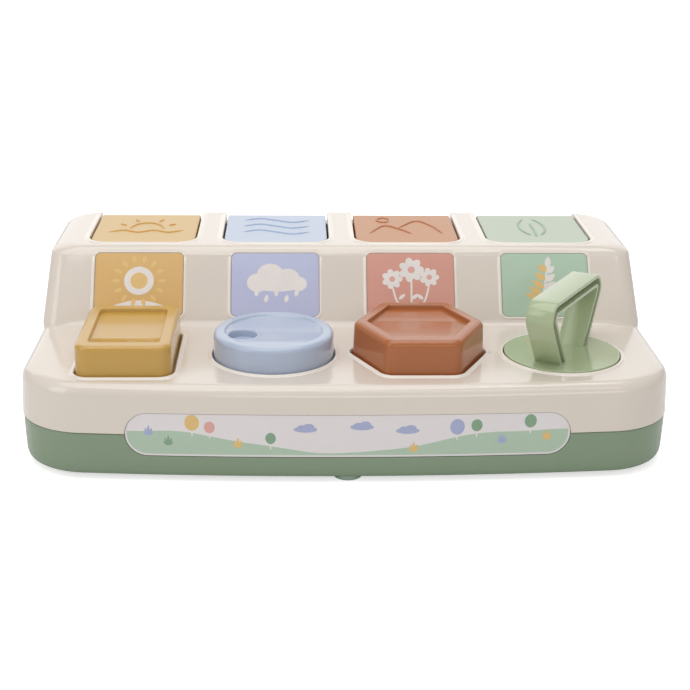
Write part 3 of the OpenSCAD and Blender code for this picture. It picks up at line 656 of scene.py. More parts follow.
class Finish(Enum):
    """Every finish of the toy."""

    # Painted highlight: the beads are the same cream plastic as the shell, and this paler copy
    # paints the light that catches their round tops.
    BEAD = Plastic("cream_bead_painted_highlight", "EDE5DB", gloss=0.2, coat=0.3)
    CREAM = Plastic("cream_satin_plastic", "DED4C9", gloss=0.15, coat=0.45)
    GREEN = Plastic("green_satin_plastic", "84977D", gloss=0.24, coat=0.1)
    YELLOW = Plastic("yellow_gloss_plastic", "C59C4A", gloss=0.2, coat=0.45)
    BLUE = Plastic("blue_gloss_plastic", "AFBBD0", gloss=0.15, coat=0.45)
    ORANGE = Plastic("orange_gloss_plastic", "AA6231", gloss=0.2, coat=0.4)
    MINT = Plastic("mint_gloss_plastic", "ABB994", gloss=0.14, coat=0.4)
    LID_YELLOW = Plastic("lid_yellow_plastic", "D3B276", gloss=0.32)
    LID_BLUE = Plastic("lid_blue_plastic", "BDC8DA", gloss=0.32)
    LID_ORANGE = Plastic("lid_orange_plastic", "C0885D", gloss=0.32)
    LID_MINT = Plastic("lid_mint_plastic", "B6C2AF", gloss=0.32)
    # Painted shade: the lid drawings are the lids' own plastic, and these darker copies paint the
    # shade that engraved strokes show.
    LINE_YELLOW = Plastic("lid_line_yellow", "CF9A48", gloss=0.34)
    LINE_BLUE = Plastic("lid_line_blue", "A0B4D2", gloss=0.34)
    LINE_ORANGE = Plastic("lid_line_orange", "B56C3F", gloss=0.34)
    LINE_MINT = Plastic("lid_line_mint", "96B193", gloss=0.34)
    WELL = Plastic("well_plastic", "E3D8CC", gloss=0.42, bump=0.00001)
    LION = Plastic("lion_sand_plastic", "EACB8C", gloss=0.36)
    MANE = Plastic("lion_mane_plastic", "C98F4E", gloss=0.4)
    ELEPHANT = Plastic("elephant_plastic", "C3C9DA", gloss=0.36)
    FLAMINGO = Plastic("flamingo_plastic", "E6B4B0", gloss=0.36)
    GIRAFFE = Plastic("giraffe_plastic", "EBCF93", gloss=0.36)
    BROWN = Plastic("brown_detail_plastic", "8C6242", gloss=0.38)
    INK = Plastic("dark_detail_plastic", "3A332E", gloss=0.25, wear=0.0)
    NYLON = Plastic("white_nylon", "E9E8E1", gloss=0.45, grain=1200.0, bump=0.00001)
    RUBBER = Plastic("foot_rubber", "44563F", gloss=0.62, grain=1600.0, bump=0.00002)
    CARD_YELLOW = Film("card_mustard", "D8B172")
    CARD_BLUE = Film("card_periwinkle", "BABFDB")
    CARD_PINK = Film("card_dusty_pink", "D49B8B")
    CARD_GREEN = Film("card_sage", "B0C8B2")
    PRINT_WHITE = Film("print_chalk_white", "E6E0DC", ink=0.25)
    PRINT_GOLD = Film("print_gold", "E2BE7C", ink=0.2)
    PRINT_ROSE = Film("print_rose", "DDA89F", ink=0.2)
    PRINT_BLUE = Film("print_blue", "A9AFD0", ink=0.2)
    PRINT_SAGE = Film("print_sage", "B2C7B2", ink=0.16)
    PRINT_DEEP = Film("print_deep_sage", "86A689", ink=0.2)
    LABEL = Film("label_paper", "E4DFDF", gloss=0.36, ink=0.06)
    STEEL = Steel("drawn_steel_wire")

    @property
    def material(self) -> bpy.types.Material:
        """The finish's material, built on its first use."""
        found = bpy.data.materials.get(self.value.name)
        return found if found is not None else self.value.make()


# Housing ----------------------------------------------------------------------------------------

def front_arcs(inset: float, corner: int, bow: int) -> Array:
    """Left corner, bowed front and right corner of the body's plan, moved in, as one path."""
    turn, r = np.degrees(B.bow_angle), B.corner_r - inset
    return np.concatenate([
        arc(-B.corner_x, B.corner_y, r, 180, turn, corner)[:-1],
        arc(0, B.bow_r - B.depth / 2, B.bow_r - inset, turn, 540 - turn, bow),
        arc(B.corner_x, B.corner_y, r, 540 - turn, 360, corner)[1:]])


def body_plan(inset: float, corner: int = 36, bow: int = 64, rear: int = 24) -> Array:
    """Plan of the body moved in: its front path and two rear corners."""
    r = B.rear_corner_r
    x, y = B.width / 2 - r, B.depth / 2 - r
    return np.concatenate([front_arcs(inset, corner, bow), arc(x, y, r - inset, 0, 90, rear),
                           arc(-x, y, r - inset, 90, 180, rear)])


def block_plan(z: float, in_y: float, in_x: float) -> Array:
    """Plan of the upper block at height z, moved in at the front and rear and at the sides."""
    x, back, r = B.block_reach(z, in_y, in_x)
    return rounded(box_corners(-x, B.riser_at(z) + in_y, x, back), [B.block_r, B.block_r, r, r], 16)


def prism(outline: Array, z0: float, z1: float, tone: int = 0) -> Skin:
    """An outline carried straight up from z0 to z1."""
    return loft(np.array([raised(outline, z0), raised(outline, z1)]), tone=tone)


def on_riser(skin: Skin, x: float) -> Skin:
    """Lays a surface drawn with its y up the riser and its z out of it where a card sits."""
    c, s = cos(B.riser_angle), sin(B.riser_angle)
    return skin.placed([0, B.card_lift, 0]).mapped(
        [[1, 0, 0], [0, c, -s], [0, s, c]], [x, B.riser_y, B.deck_z])


def square_outline(out: float, along: int = 1) -> Array:
    """Outline of the four-cornered button, moved out."""
    radius = float(np.interp(out, [-6, -2, 0, 3], [3.4, 5.2, 6.5, 9.5]))
    return rounded(grow(box_corners(-21.6, -31.6, 23.2, 30.8), out), [radius] * 4, 12, along)


def hexagon_outline(out: float, along: int = 1, half: float = 32.9) -> Array:
    """Outline of the six-cornered button, moved out."""
    corners = np.array([[-half, 1.6], [-17.2, -29.8], [17.2, -29.8], [half, 1.6], [17.2, 32.6],
                        [-17.2, 32.6]])
    radius = float(np.interp(out, [-7, -3, 0, 3], [1.2, 3.8, 6.0, 9.0]))
    return rounded(grow(corners, out), [radius] * 6, 10, along)


def lid_path(out: float, rear: float, steps: int = 16, along: int = 10) -> Array:
    """Open path round a lid: left side, left corner, front, right corner, right side."""
    half, r = B.lid_w / 2 + out, B.lid_corner_r + out
    front = B.lid_front_y - out
    side = np.linspace(rear, front + r, along + 1)[:-1]
    left = np.column_stack([np.full(along, -half), side])
    return np.concatenate([
        left, arc(-half + r, front + r, r, 180, 270, steps),
        arc(half - r, front + r, r, 270, 360, steps), left[::-1] * [-1, 1]])


def lid_outline(out: float, rear: float = B.hinge_y) -> Array:
    """Closed outline of a lid with its rear edge held in place."""
    return lid_path(out, rear, along=1)


def card_outline(out: float) -> Array:
    """Outline of a picture card, its foot's middle at the origin."""
    return rounded(grow(box_corners(-22.5, 0, 22.5, 34), out), [2.6 + out] * 4, 8, 8)


def label_strip(half_w: float, half_h: float) -> tuple[Array, Array]:
    """Places along a long slip with round ends, and its half height there.

    The half height is sqrt(h^2 - d^2), with d the distance past the last straight place.
    """
    t = np.linspace(0, pi, 48)
    end = half_w - half_h
    x = np.concatenate([-end - half_h * np.cos(t[:24]), np.linspace(-end, end, 160),
                        end + half_h * np.cos(t[23::-1])])
    beyond = np.clip(np.abs(x) - end, 0, half_h)
    return x, np.sqrt(np.maximum(half_h ** 2 - beyond ** 2, 1e-6))


def bow_y(x: Array, r: float) -> Array:
    """The bowed front at radius r: y = centre - sqrt(r^2 - x^2)."""
    return -B.depth / 2 + B.bow_r - np.sqrt(r * r - x * x)


def slip_between(x: Array, near: Array, far: Array, top: Array, low: Array, tone: int = 0) -> Skin:
    """Thin slip with four points at each x: from near to far in depth, from low to top."""
    rows = [(near, top), (far, top), (far, low), (near, low)]
    rings = np.stack([np.column_stack([x, y, B.seam_z + z]) for y, z in rows], 1)
    return loft(rings, tone=tone)


def label_cutter(past: float = 6.0) -> bpy.types.Mesh:
    """Seat of the label: a slip a little larger than the label, from its bed to the open air."""
    x, h = label_strip(B.label_half_w + B.label_gap, B.label_half_h + B.label_gap)
    back = bow_y(x, B.label_r - B.label_seat)
    open_air = np.full_like(x, -B.depth / 2 - past)
    return make_mesh("label_seat", [slip_between(x, back, open_air, h, -h)])


@dataclass
class CreamHousing:
    """Upper shell: front deck, riser and rear deck in one skin, with beads round its openings."""

    corner_steps: int = 20
    line_steps: int = 22
    arc_steps: int = 34
    bow_steps: int = 70
    rear_steps: int = 28
    cove_r: float = 6.0
    seam_fillet: float = 0.5
    flat: float = 0.5
    edge_margin: float = 1.3
    cove_fade: float = 14.0
    bead_top: float = 0.9
    hole_gap: float = 1.7
    round_gap: float = 1.6
    lid_gap: float = 1.2
    card_gap: float = 0.35
    past: float = 6.0
    above: float = 4.0
    past_rear: float = 130.0
    lid_bead_top: float = 0.7
    lid_bead_end: float = 87.1
    lid_bead_fade: float = 2.2
    share: Array = field(init=False)

    def __post_init__(self) -> None:
        """Works out how the deck's front edge is shared out along the riser's foot."""
        run = 2 * self.line_steps + 2 * self.arc_steps + self.bow_steps + 1
        path = self.lower_slice(B.side_draft, 7.0)[self.corner_steps:self.corner_steps + run]
        steps = np.linalg.norm(np.diff(path, axis=0), axis=1)
        self.share = np.concatenate([[0], np.cumsum(steps)]) / steps.sum()

    def corner_arc(self) -> tuple[Array, Array]:
        """Inward and backward reach of the block's corner arc: r (1 - cos), r (1 - sin)."""
        last = acos(1 - (B.deck_edge_r + self.edge_margin) / B.block_r)
        return tuple(np.array(quarter(B.block_r, self.corner_steps + 1, np.degrees(last))).T)

    def rear_part(self, x: float, y0: float, y1: float, r: float) -> Array:
        """Right side, rear corners and left side, between the block's front corners."""
        up = y0 + (y1 - r - y0) * np.linspace(0, 1, 13)[1:-1]
        cross = np.linspace(x - r, -(x - r), 42)[1:-1]
        side = np.column_stack([np.full(len(up), x), up])
        return np.concatenate([
            side, arc(x - r, y1 - r, r, 0, 90, self.rear_steps),
            np.column_stack([cross, np.full(len(cross), y1)]),
            arc(r - x, y1 - r, r, 90, 180, self.rear_steps), side[::-1] * [-1, 1]])

    def lower_slice(self, inset: float, rounding: float) -> Array:
        """Slice below the deck: the body's plan moved in, and further in front of the riser.

        At the block's corner the extra inset is the smaller of the corner's arc and the rounding,
        softly blended, so the rounded deck edge dies into the block.
        """
        x = B.width / 2 - inset
        reach, back = self.corner_arc()
        extra = soft_min(reach, np.full_like(reach, rounding), 1.0)
        extra = np.maximum(extra, 0)[:-1]
        corner = np.column_stack([-x + extra, B.riser_y + back[:-1]])
        line = np.linspace(B.riser_y + back[-1], B.corner_y, self.line_steps + 1)[:-1]
        side = np.concatenate([corner, np.column_stack([np.full(len(line), rounding - x), line])])
        front = front_arcs(inset + rounding, self.arc_steps, self.bow_steps)
        rear = self.rear_part(x, B.riser_y + B.block_r, B.depth / 2 - inset,
                              B.rear_corner_r - inset)
        return np.concatenate([side, front, side[::-1] * [-1, 1], rear])

    def upper_ring(self, z: float, in_y: float = 0, in_x: float = 0, cove: float = 0) -> Array:
        """Ring of the upper block: its front line comes forward by the cove, less at its ends."""
        x, y1, r = B.block_reach(z, in_y, in_x)
        y0 = B.riser_at(z) + in_y
        reach, back = self.corner_arc()
        corner = np.column_stack([-x + reach[:-1], y0 + back[:-1]])
        half = x - reach[-1]
        across = -half + 2 * half * self.share
        beyond = np.maximum(np.abs(across) - (x - B.block_r), 0)
        fade = smooth_step((half - np.abs(across)) / self.cove_fade)
        line = y0 + B.block_r - np.sqrt(B.block_r ** 2 - beyond ** 2) - cove * fade
        return raised(np.concatenate([
            corner, np.column_stack([across, line]), corner[::-1] * [-1, 1],
            self.rear_part(x, y0 + B.block_r, y1, r)]), z)

    def outer_rings(self) -> Array:
        """Rings of the whole outside, from the seam up over the deck, the riser and the top."""
        rings = [raised(self.lower_slice(inset, 0), B.seam_z + up)
                 for up, inset in quarter(self.seam_fillet, 5)]
        start = B.deck_z - B.deck_edge_r
        for z in np.linspace(B.seam_z + 1, start, 7)[:-1]:
            share = (z - B.seam_z) / (start - B.seam_z)
            rings.append(raised(self.lower_slice(B.side_draft * share, 0), z))
        for rho, down in quarter(B.deck_edge_r, 19) + [(B.deck_edge_r + self.flat, 0.0)]:
            rings.append(raised(self.lower_slice(B.side_draft, rho), B.deck_z - down))
        tangent = self.cove_r * tan(B.riser_angle / 2)
        rings.append(self.upper_ring(B.deck_z, cove=tangent + 0.4))
        low = B.deck_z + self.cove_r * (1 - cos(B.riser_angle))
        for a in np.linspace(0, B.riser_angle, 11):
            z = B.deck_z + self.cove_r * (1 - cos(a))
            y = B.riser_y - tangent + self.cove_r * sin(a)
            rings.append(self.upper_ring(z, cove=B.riser_at(z) - y))
        rings += [self.upper_ring(z) for z in np.linspace(low, B.top_z - B.top_edge_r, 9)[1:-1]]
        rings += [self.upper_ring(B.top_z - B.top_edge_r * down, B.top_edge_r * inset,
                                  B.side_edge_r * inset) for inset, down in quarter(1, 17)]
        rings.append(self.upper_ring(B.top_z, B.top_edge_r + self.flat, B.side_edge_r + self.flat))
        return np.array(rings)

    def hollows(self) -> list[bpy.types.Mesh]:
        """Cutters: the space in the lower part, the space in the block, and all openings."""
        low = prism(body_plan(B.wall), B.seam_z - 3, B.deck_z - B.wall)
        levels = (B.deck_z - B.wall - 1, B.deck_z, B.top_z - B.wall)
        high = loft(np.array([raised(block_plan(z, B.wall / sin(B.riser_angle), B.wall), z)
                              for z in levels]))
        holes = (square_outline(self.hole_gap), circle(B.dial_r + self.round_gap),
                 hexagon_outline(self.hole_gap), circle(B.key_r + self.round_gap))
        open_up = [prism(outline + [x, B.control_y], B.deck_z - self.past, B.deck_z + self.above)
                   for outline, x in zip(holes, COLUMNS)]
        lid, card = lid_outline(self.lid_gap, self.past_rear), card_outline(self.card_gap)
        for x in COLUMNS:
            open_up.append(prism(lid + [x, 0], B.hinge_z - 0.2, B.top_z + self.past))
            open_up.append(on_riser(prism(card, -0.6, self.past), x))
        return [make_mesh("low_hollow", [low]), make_mesh("block_hollow", [high]),
                make_mesh("openings", open_up), label_cutter()]

    def hole_bead(self, outline: Callable[[float], Array], x: float, gap: float) -> Skin:
        """Bead round a control's hole: a closed profile of (offset, height) carried round it."""
        top = B.deck_z + self.bead_top
        profile = [(0.0, B.deck_z - 2.8), (0.0, top - 0.85), (0.12, top - 0.4), (0.4, top - 0.1),
                   (0.8, top), (1.2, top - 0.1), (1.65, top - 0.42), (2.0, B.deck_z + 0.12),
                   (2.5, B.deck_z - 0.05), (2.5, B.deck_z - 0.7), (1.2, B.deck_z - 2.8)]
        return swept(lambda d: outline(gap + d), profile, True).placed([x, B.control_y, 0])

    def lid_bead(self, x: float) -> Skin:
        """Bead round the front and sides of a lid's opening, running out flat at the rear."""
        top = B.top_z + self.lid_bead_top
        profile = np.array([(0.7, B.top_z - 2.9), (0.7, top - 0.7), (0.85, top - 0.28),
                            (1.2, top - 0.04), (1.6, top), (2.1, top - 0.06), (2.7, top - 0.3),
                            (3.2, B.top_z + 0.1), (3.7, B.top_z - 0.05), (3.7, B.top_z - 0.8),
                            (1.6, B.top_z - 2.9)])
        paths = np.array([lid_path(d, self.lid_bead_end, along=24) for d, _ in profile])
        fade = smooth_step((self.lid_bead_end - 0.3 - paths[0, :, 1]) / self.lid_bead_fade)
        rise = np.maximum(profile[:, 1] - B.top_z + 0.05, 0)
        z = profile[:, 1][:, None] - rise[:, None] * (1 - fade)[None]
        return loft(np.concatenate([paths + [x, 0], z[..., None]], -1).transpose(1, 0, 2))

    def card_bead(self, x: float) -> Skin:
        """Bead round a card's sides and foot, which runs out flat along the top."""
        profile = [(0.36, -0.5), (0.36, 0.2), (0.5, 0.45), (0.85, 0.6), (1.25, 0.52), (1.7, 0.2),
                   (2.1, -0.05), (2.1, -0.5)]
        rings = []
        for out, height in profile:
            outline = card_outline(out)
            side = np.maximum(smooth_step((np.abs(outline[:, 0]) - 15.5) / 5),
                              smooth_step((6 - outline[:, 1]) / 4))
            full = side * smooth_step((32.6 - outline[:, 1]) / 2.5)
            top = np.where(height > 0, (height + 0.06) * full - 0.06, height)
            rings.append(raised(outline, top))
        return on_riser(loft(np.array(rings), wrap=True), x)

    def build(self) -> None:
        """Carves the shell, adds its beads and fixes both to the housing."""
        solid = make_mesh("cream_shell_solid", [loft(self.outer_rings())])
        shell = carved("cream_upper_shell", solid, self.hollows())
        add_piece(shell, [Finish.CREAM], "housing", "cream_plastic", "upper_shell")
        holes = ((square_outline, 0.8), (lambda d: circle(B.dial_r + d, 160), 0.7),
                 (hexagon_outline, 0.8), (lambda d: circle(B.key_r + d, 160), 0.4))
        beads = [self.hole_bead(outline, x, gap) for (outline, gap), x in zip(holes, COLUMNS)]
        for x in COLUMNS:
            beads += [self.lid_bead(x), self.card_bead(x)]
        # The beads take the paler cream copy, a painted highlight on their round tops.
        add_piece(make_mesh("opening_beads", beads, 50), [Finish.BEAD], "housing",
                  "cream_plastic")


@dataclass
class GreenBase:
    """Lower shell: bowed tray with a soft bottom edge, a lip inside and screw wells."""

    seam_gap: float = 0.25
    screw_r: float = 3.0
    screw_h: float = 12.6
    foot_r: float = 5.1
    foot_h: float = 3.8
    screws: tuple = ((-70, -84.5), (-70, 78), (70, -84.5), (70, 78), (-142, 30), (142, 30))
    feet: tuple = ((0, -84.2), (-122, -70), (122, -70), (-122, 74), (122, 74), (0, 80))

    def build(self) -> None:
        """Builds the tray, whose profile is (inset, height), and fixes it to the housing."""
        top = B.seam_z - self.seam_gap
        profile = [(6.4, 2.5), (3.9, 2.5), (3.2, 2.58), (2.5, 2.85), (1.9, 3.3), (1.45, 3.95),
                   (1.12, 4.8), (0.9, 5.8), (0.72, 9.5), (0.55, 14.0), (0.4, 19.0),
                   (0.35, top - 0.5), (0.4, top - 0.3), (0.52, top - 0.12), (0.75, top),
                   (2.8, top), (2.8, top + 2.2), (4.0, top + 2.2), (4.0, 5.1)]
        solid = make_mesh("tray_solid", [swept(body_plan, profile)])
        holes = [prism(circle(self.screw_r, 40, x, y), 0, self.screw_h) for x, y in self.screws]
        holes += [prism(circle(self.foot_r, 40, x, y), 0, self.foot_h) for x, y in self.feet]
        tray = carved("green_lower_shell", solid, [make_mesh("wells", holes), label_cutter()])
        add_piece(tray, [Finish.GREEN], "housing", "green_plastic", "lower_shell")
        cups = [turned_profile([(1.7, 12.5), (3.0, 12.5), (3.0, 4.9), (4.4, 4.9), (4.4, 14.4),
                                (1.7, 14.4)], 40, wrap=True).placed([x, y, 0])
                for x, y in self.screws]
        add_piece(make_mesh("screw_wells", cups), [Finish.GREEN], "housing", "green_plastic")


# Printed pieces -----------------------------------------------------------------------------------

class Print:
    """Flat printed shapes, each a list of points in millimetres, later laid on a surface."""

    @staticmethod
    def laid(u: Array, v: Array, x: float, y: float, turn: float) -> Array:
        """Points (u, v) turned by some degrees and moved to (x, y)."""
        c, s = cos(radians(turn)), sin(radians(turn))
        return np.column_stack([x + c * u - s * v, y + s * u + c * v])

    @classmethod
    def disc(cls, x: float, y: float, rx: float, ry: float, turn: float = 0.0) -> Array:
        """An ellipse turned by some degrees."""
        a = np.linspace(0, 2 * pi, 36, endpoint=False)
        return cls.laid(rx * np.cos(a), ry * np.sin(a), x, y, turn)

    @classmethod
    def petal(cls, x: float, y: float, length: float, width: float, turn: float) -> Array:
        """A leaf from (x, y): half width w / 2 sin(pi t)^0.8 (1.15 - 0.35 t) at distance t."""
        t = np.linspace(0, 1, 14)
        w = width / 2 * np.sin(pi * t) ** 0.8 * (1.15 - 0.35 * t)
        return cls.laid(np.concatenate([t * length, t[-2:0:-1] * length]),
                        np.concatenate([-w, w[-2:0:-1]]), x, y, turn)

    @staticmethod
    def band(path: Array, width: float) -> Array:
        """A stroke of the given width along a path, its ends tapered."""
        t = np.linspace(0, 1, len(path))
        half = width / 2 * np.minimum(1, 0.35 + 4 * np.minimum(t, 1 - t))[:, None]
        side = path_sides(path) * half
        return np.concatenate([path - side, (path + side)[::-1]])


@dataclass
class Motif:
    """Shapes of one printed picture with the finish of each."""

    shapes: list[tuple[Array, Finish]] = field(default_factory=list)

    def add(self, finish: Finish, *shapes: Array) -> "Motif":
        """Adds shapes in one finish."""
        self.shapes += [(shape, finish) for shape in shapes]
        return self

    @staticmethod
    def sun() -> "Motif":
        """A sun with rays over a chalk hill."""
        rays = [Print.petal(9.6 * cos(a), 19 + 9.6 * sin(a), 4.6, 2.2, np.degrees(a))
                for a in np.linspace(0, 2 * pi, 14, endpoint=False)]
        t = np.linspace(-1, 1, 30)
        hill = np.column_stack([t * 17, 4 + 4.5 * np.cos(t * pi / 2)])
        hill = np.concatenate([hill, [[17, 3.2], [-17, 3.2]]])[::-1]
        middle = (0, 19)
        return Motif().add(Finish.PRINT_WHITE, hill).add(Finish.PRINT_GOLD, *rays).add(
            Finish.PRINT_WHITE, Print.disc(*middle, 7.6, 7.6)).add(
            Finish.PRINT_GOLD, Print.disc(*middle, 4.4, 4.4))

    @staticmethod
    def cloud() -> "Motif":
        """A cloud with five drops of rain."""
        lumps = [Print.disc(*p) for p in ((-9, 18, 5.6, 5.0), (-2.5, 21.5, 7.2, 6.8),
                                          (6.5, 20, 6.2, 5.6), (12, 17.4, 4.4, 3.9),
                                          (1, 16.6, 12.5, 3.4))]
        drops = [Print.petal(x, 10.5 - 3.2 * (k % 2), 4.4, 2.3, 78)
                 for k, x in enumerate((-10, -5, 0.2, 5.4, 10.6))]
        return Motif().add(Finish.PRINT_WHITE, *lumps, *drops)

    @staticmethod
    def flower() -> "Motif":
        """Three small round flowers on stems."""
        motif = Motif()
        for x, y, r in ((-9.5, 20, 3.6), (0.5, 25, 4.4), (9.8, 21, 3.4)):
            stem = smooth_path([[x, y - r], [x * 0.8, y - 11], [x * 0.5, 4]], 14)
            petals = [Print.disc(x + r * 0.9 * cos(a), y + r * 0.9 * sin(a), r * 0.62, r * 0.46,
                                 np.degrees(a)) for a in np.linspace(0, 2 * pi, 7, endpoint=False)]
            motif.add(Finish.PRINT_WHITE, Print.band(stem, 1.0), *petals).add(
                Finish.PRINT_ROSE, Print.disc(x, y, r * 0.42, r * 0.42))
            motif.add(Finish.PRINT_WHITE, Print.petal(x * 0.66, 9, 4.6, 2.0, 40 if x < 3 else 140))
        return motif

    @staticmethod
    def sprig() -> "Motif":
        """A leafy sprig with paired leaves."""
        stem = smooth_path([[-3, 4], [-0.6, 14], [1.6, 27]], 24)
        motif = Motif().add(Finish.PRINT_WHITE, Print.band(stem, 1.1),
                            Print.petal(1.6, 26, 6.4, 3.2, 84))
        for k, (x, y) in enumerate(stem[4::4]):
            size = 9.4 - 1.0 * k
            motif.add(Finish.PRINT_WHITE, Print.petal(x, y, size, 3.5, 28 + 3 * k))
            motif.add(Finish.PRINT_GOLD, Print.petal(x, y + 0.6, size, 3.5, 150 - 3 * k))
        return motif

    @staticmethod
    def meadow() -> "Motif":
        """Label picture on the hills: round trees on thin trunks, tufts of grass and clouds."""
        motif, ground = Motif(), FrontLabel.ground
        trunk_w, root, stem = 0.7, 1.6, 1.4
        for x, r, tint in ((-72, 3.9, Finish.PRINT_GOLD), (-64, 2.9, Finish.PRINT_ROSE),
                           (-36, 2.8, Finish.PRINT_DEEP), (50, 3.9, Finish.PRINT_BLUE),
                           (59, 3.0, Finish.PRINT_DEEP), (84, 3.3, Finish.PRINT_DEEP)):
            y = ground(x) + r + stem
            trunk = np.linspace([x, ground(x) - root], [x, y], 6)
            motif.add(Finish.PRINT_WHITE, Print.band(trunk, trunk_w))
            motif.add(tint, Print.disc(x, y, r * 0.86, r))
        blades = [(5.2 - abs(turn - 90) / 22, 1.3, turn) for turn in (42, 66, 90, 114, 138)]
        for x, down, tint in ((-92, 2.4, Finish.PRINT_BLUE), (-51, 3.4, Finish.PRINT_GOLD),
                              (-83, 7.0, Finish.PRINT_DEEP), (30, 3.0, Finish.PRINT_GOLD),
                              (71, 6.0, Finish.PRINT_BLUE), (92, 5.0, Finish.PRINT_GOLD)):
            motif.add(tint, *[Print.petal(x, ground(x) - down, *blade) for blade in blades])
        lumps = ((0, 0, 5.4, 1.5), (1.5, 1.1, 2.6, 1.7), (-1.8, 0.8, 2.0, 1.3))
        for x, y in ((-20, 3.4), (6, 4.6), (27, 2.6)):
            motif.add(Finish.PRINT_BLUE, *[Print.disc(x + dx, y + dy, rx, ry)
                                           for dx, dy, rx, ry in lumps])
        return motif


def printed_skins(motif: Motif, finishes: list[Finish], thick: float, base: float = 0.0,
                  root: float = 0.05, layer: float = 0.002) -> list[Skin]:
    """Each shape as a very thin plate about height base, later shapes a layer higher."""
    skins = []
    for k, (shape, finish) in enumerate(motif.shapes):
        if finish not in finishes:
            finishes.append(finish)
        skins.append(prism(shape, base - root, base + thick + layer * k, finishes.index(finish)))
    return skins


@dataclass
class RiserCards:
    """The four printed cards on the riser, each with its own plain motif."""

    ink: float = 0.012
    face: float = -0.02
    edge: tuple = ((0.0, -0.5), (0.0, -0.12), (-0.08, -0.04), (-0.2, -0.02))

    def build(self) -> None:
        """Builds each card, whose edge is (offset, height), with its print."""
        rows = (("yellow", Finish.CARD_YELLOW, Motif.sun()),
                ("blue", Finish.CARD_BLUE, Motif.cloud()),
                ("pink", Finish.CARD_PINK, Motif.flower()),
                ("green", Finish.CARD_GREEN, Motif.sprig()))
        for x, (name, finish, motif) in zip(COLUMNS, rows):
            finishes = [finish]
            skins = [swept(card_outline, self.edge)]
            skins += printed_skins(motif, finishes, self.ink, self.face)
            mesh = make_mesh(f"picture_card_{name}_print", [on_riser(skin, x) for skin in skins])
            add_piece(mesh, finishes, "housing", f"card_{name}", f"picture_card_{name}")


@dataclass
class FrontLabel:
    """Curved label across the seam, with a printed meadow and a fine pale rim."""

    thick: float = 0.5
    rim: float = 0.9
    ink: float = 0.022
    wave: float = 0.35

    @staticmethod
    def ground(x: Array) -> Array:
        """Height of the hills: -8.2 + 10.2 s((-x - 8) / 80) + 10 s((x - 2) / 74).

        Here s is the smooth step.
        """
        return -8.2 + 10.2 * smooth_step((-x - 8) / 80) + 10 * smooth_step((x - 2) / 74)

    def hills(self) -> Skin:
        """Printed hills on the bowed face, from the label's lower edge up to the ground."""
        x, half = label_strip(B.label_half_w - self.rim, B.label_half_h - self.rim)
        top = np.clip(self.ground(x) + self.wave * np.sin(x / 7), -half, half)
        return slip_between(x, bow_y(x, B.label_r - 0.05), bow_y(x, B.label_r + 0.01),
                            top + 1e-3, -half, 1)

    def build(self) -> None:
        """Builds the label and fixes it to the housing."""
        x, h = label_strip(B.label_half_w, B.label_half_h)
        skins = [slip_between(x, bow_y(x, B.label_r - self.thick), bow_y(x, B.label_r), h, -h),
                 self.hills()]
        finishes = [Finish.LABEL, Finish.PRINT_SAGE]
        for skin in printed_skins(Motif.meadow(), finishes, self.ink):
            x, z, up = skin.points.T
            skin.points = np.column_stack([x, bow_y(x, B.label_r) - up, B.seam_z + z])
            skins.append(skin.outward())
        add_piece(make_mesh("front_label_print", skins), finishes, "housing", "label_film",
                  "front_label")


# Lids and figures ---------------------------------------------------------------------------------

class Column(Enum):
    """The four columns: middle, lid finish, finish of its drawing (a darker tone, painted shade of
    engraved strokes), slot and latch travel.
    """

    YELLOW = (COLUMNS[0], Finish.LID_YELLOW, Finish.LINE_YELLOW, "yellow_plastic", 4.6)
    BLUE = (COLUMNS[1], Finish.LID_BLUE, Finish.LINE_BLUE, "blue_plastic", 4.5)
    ORANGE = (COLUMNS[2], Finish.LID_ORANGE, Finish.LINE_ORANGE, "orange_plastic", 4.6)
    GREEN = (COLUMNS[3], Finish.LID_MINT, Finish.LINE_MINT, "mint_plastic", 4.5)

    def __init__(self, x: float, lid: Finish, line: Finish, slot: str, travel: float) -> None:
        """Names the values of a column."""
        self.x, self.lid, self.line, self.slot, self.travel = x, lid, line, slot, travel

    @property
    def tint(self) -> str:
        """The colour's name as it stands in the names of nodes."""
        return self.name.lower()


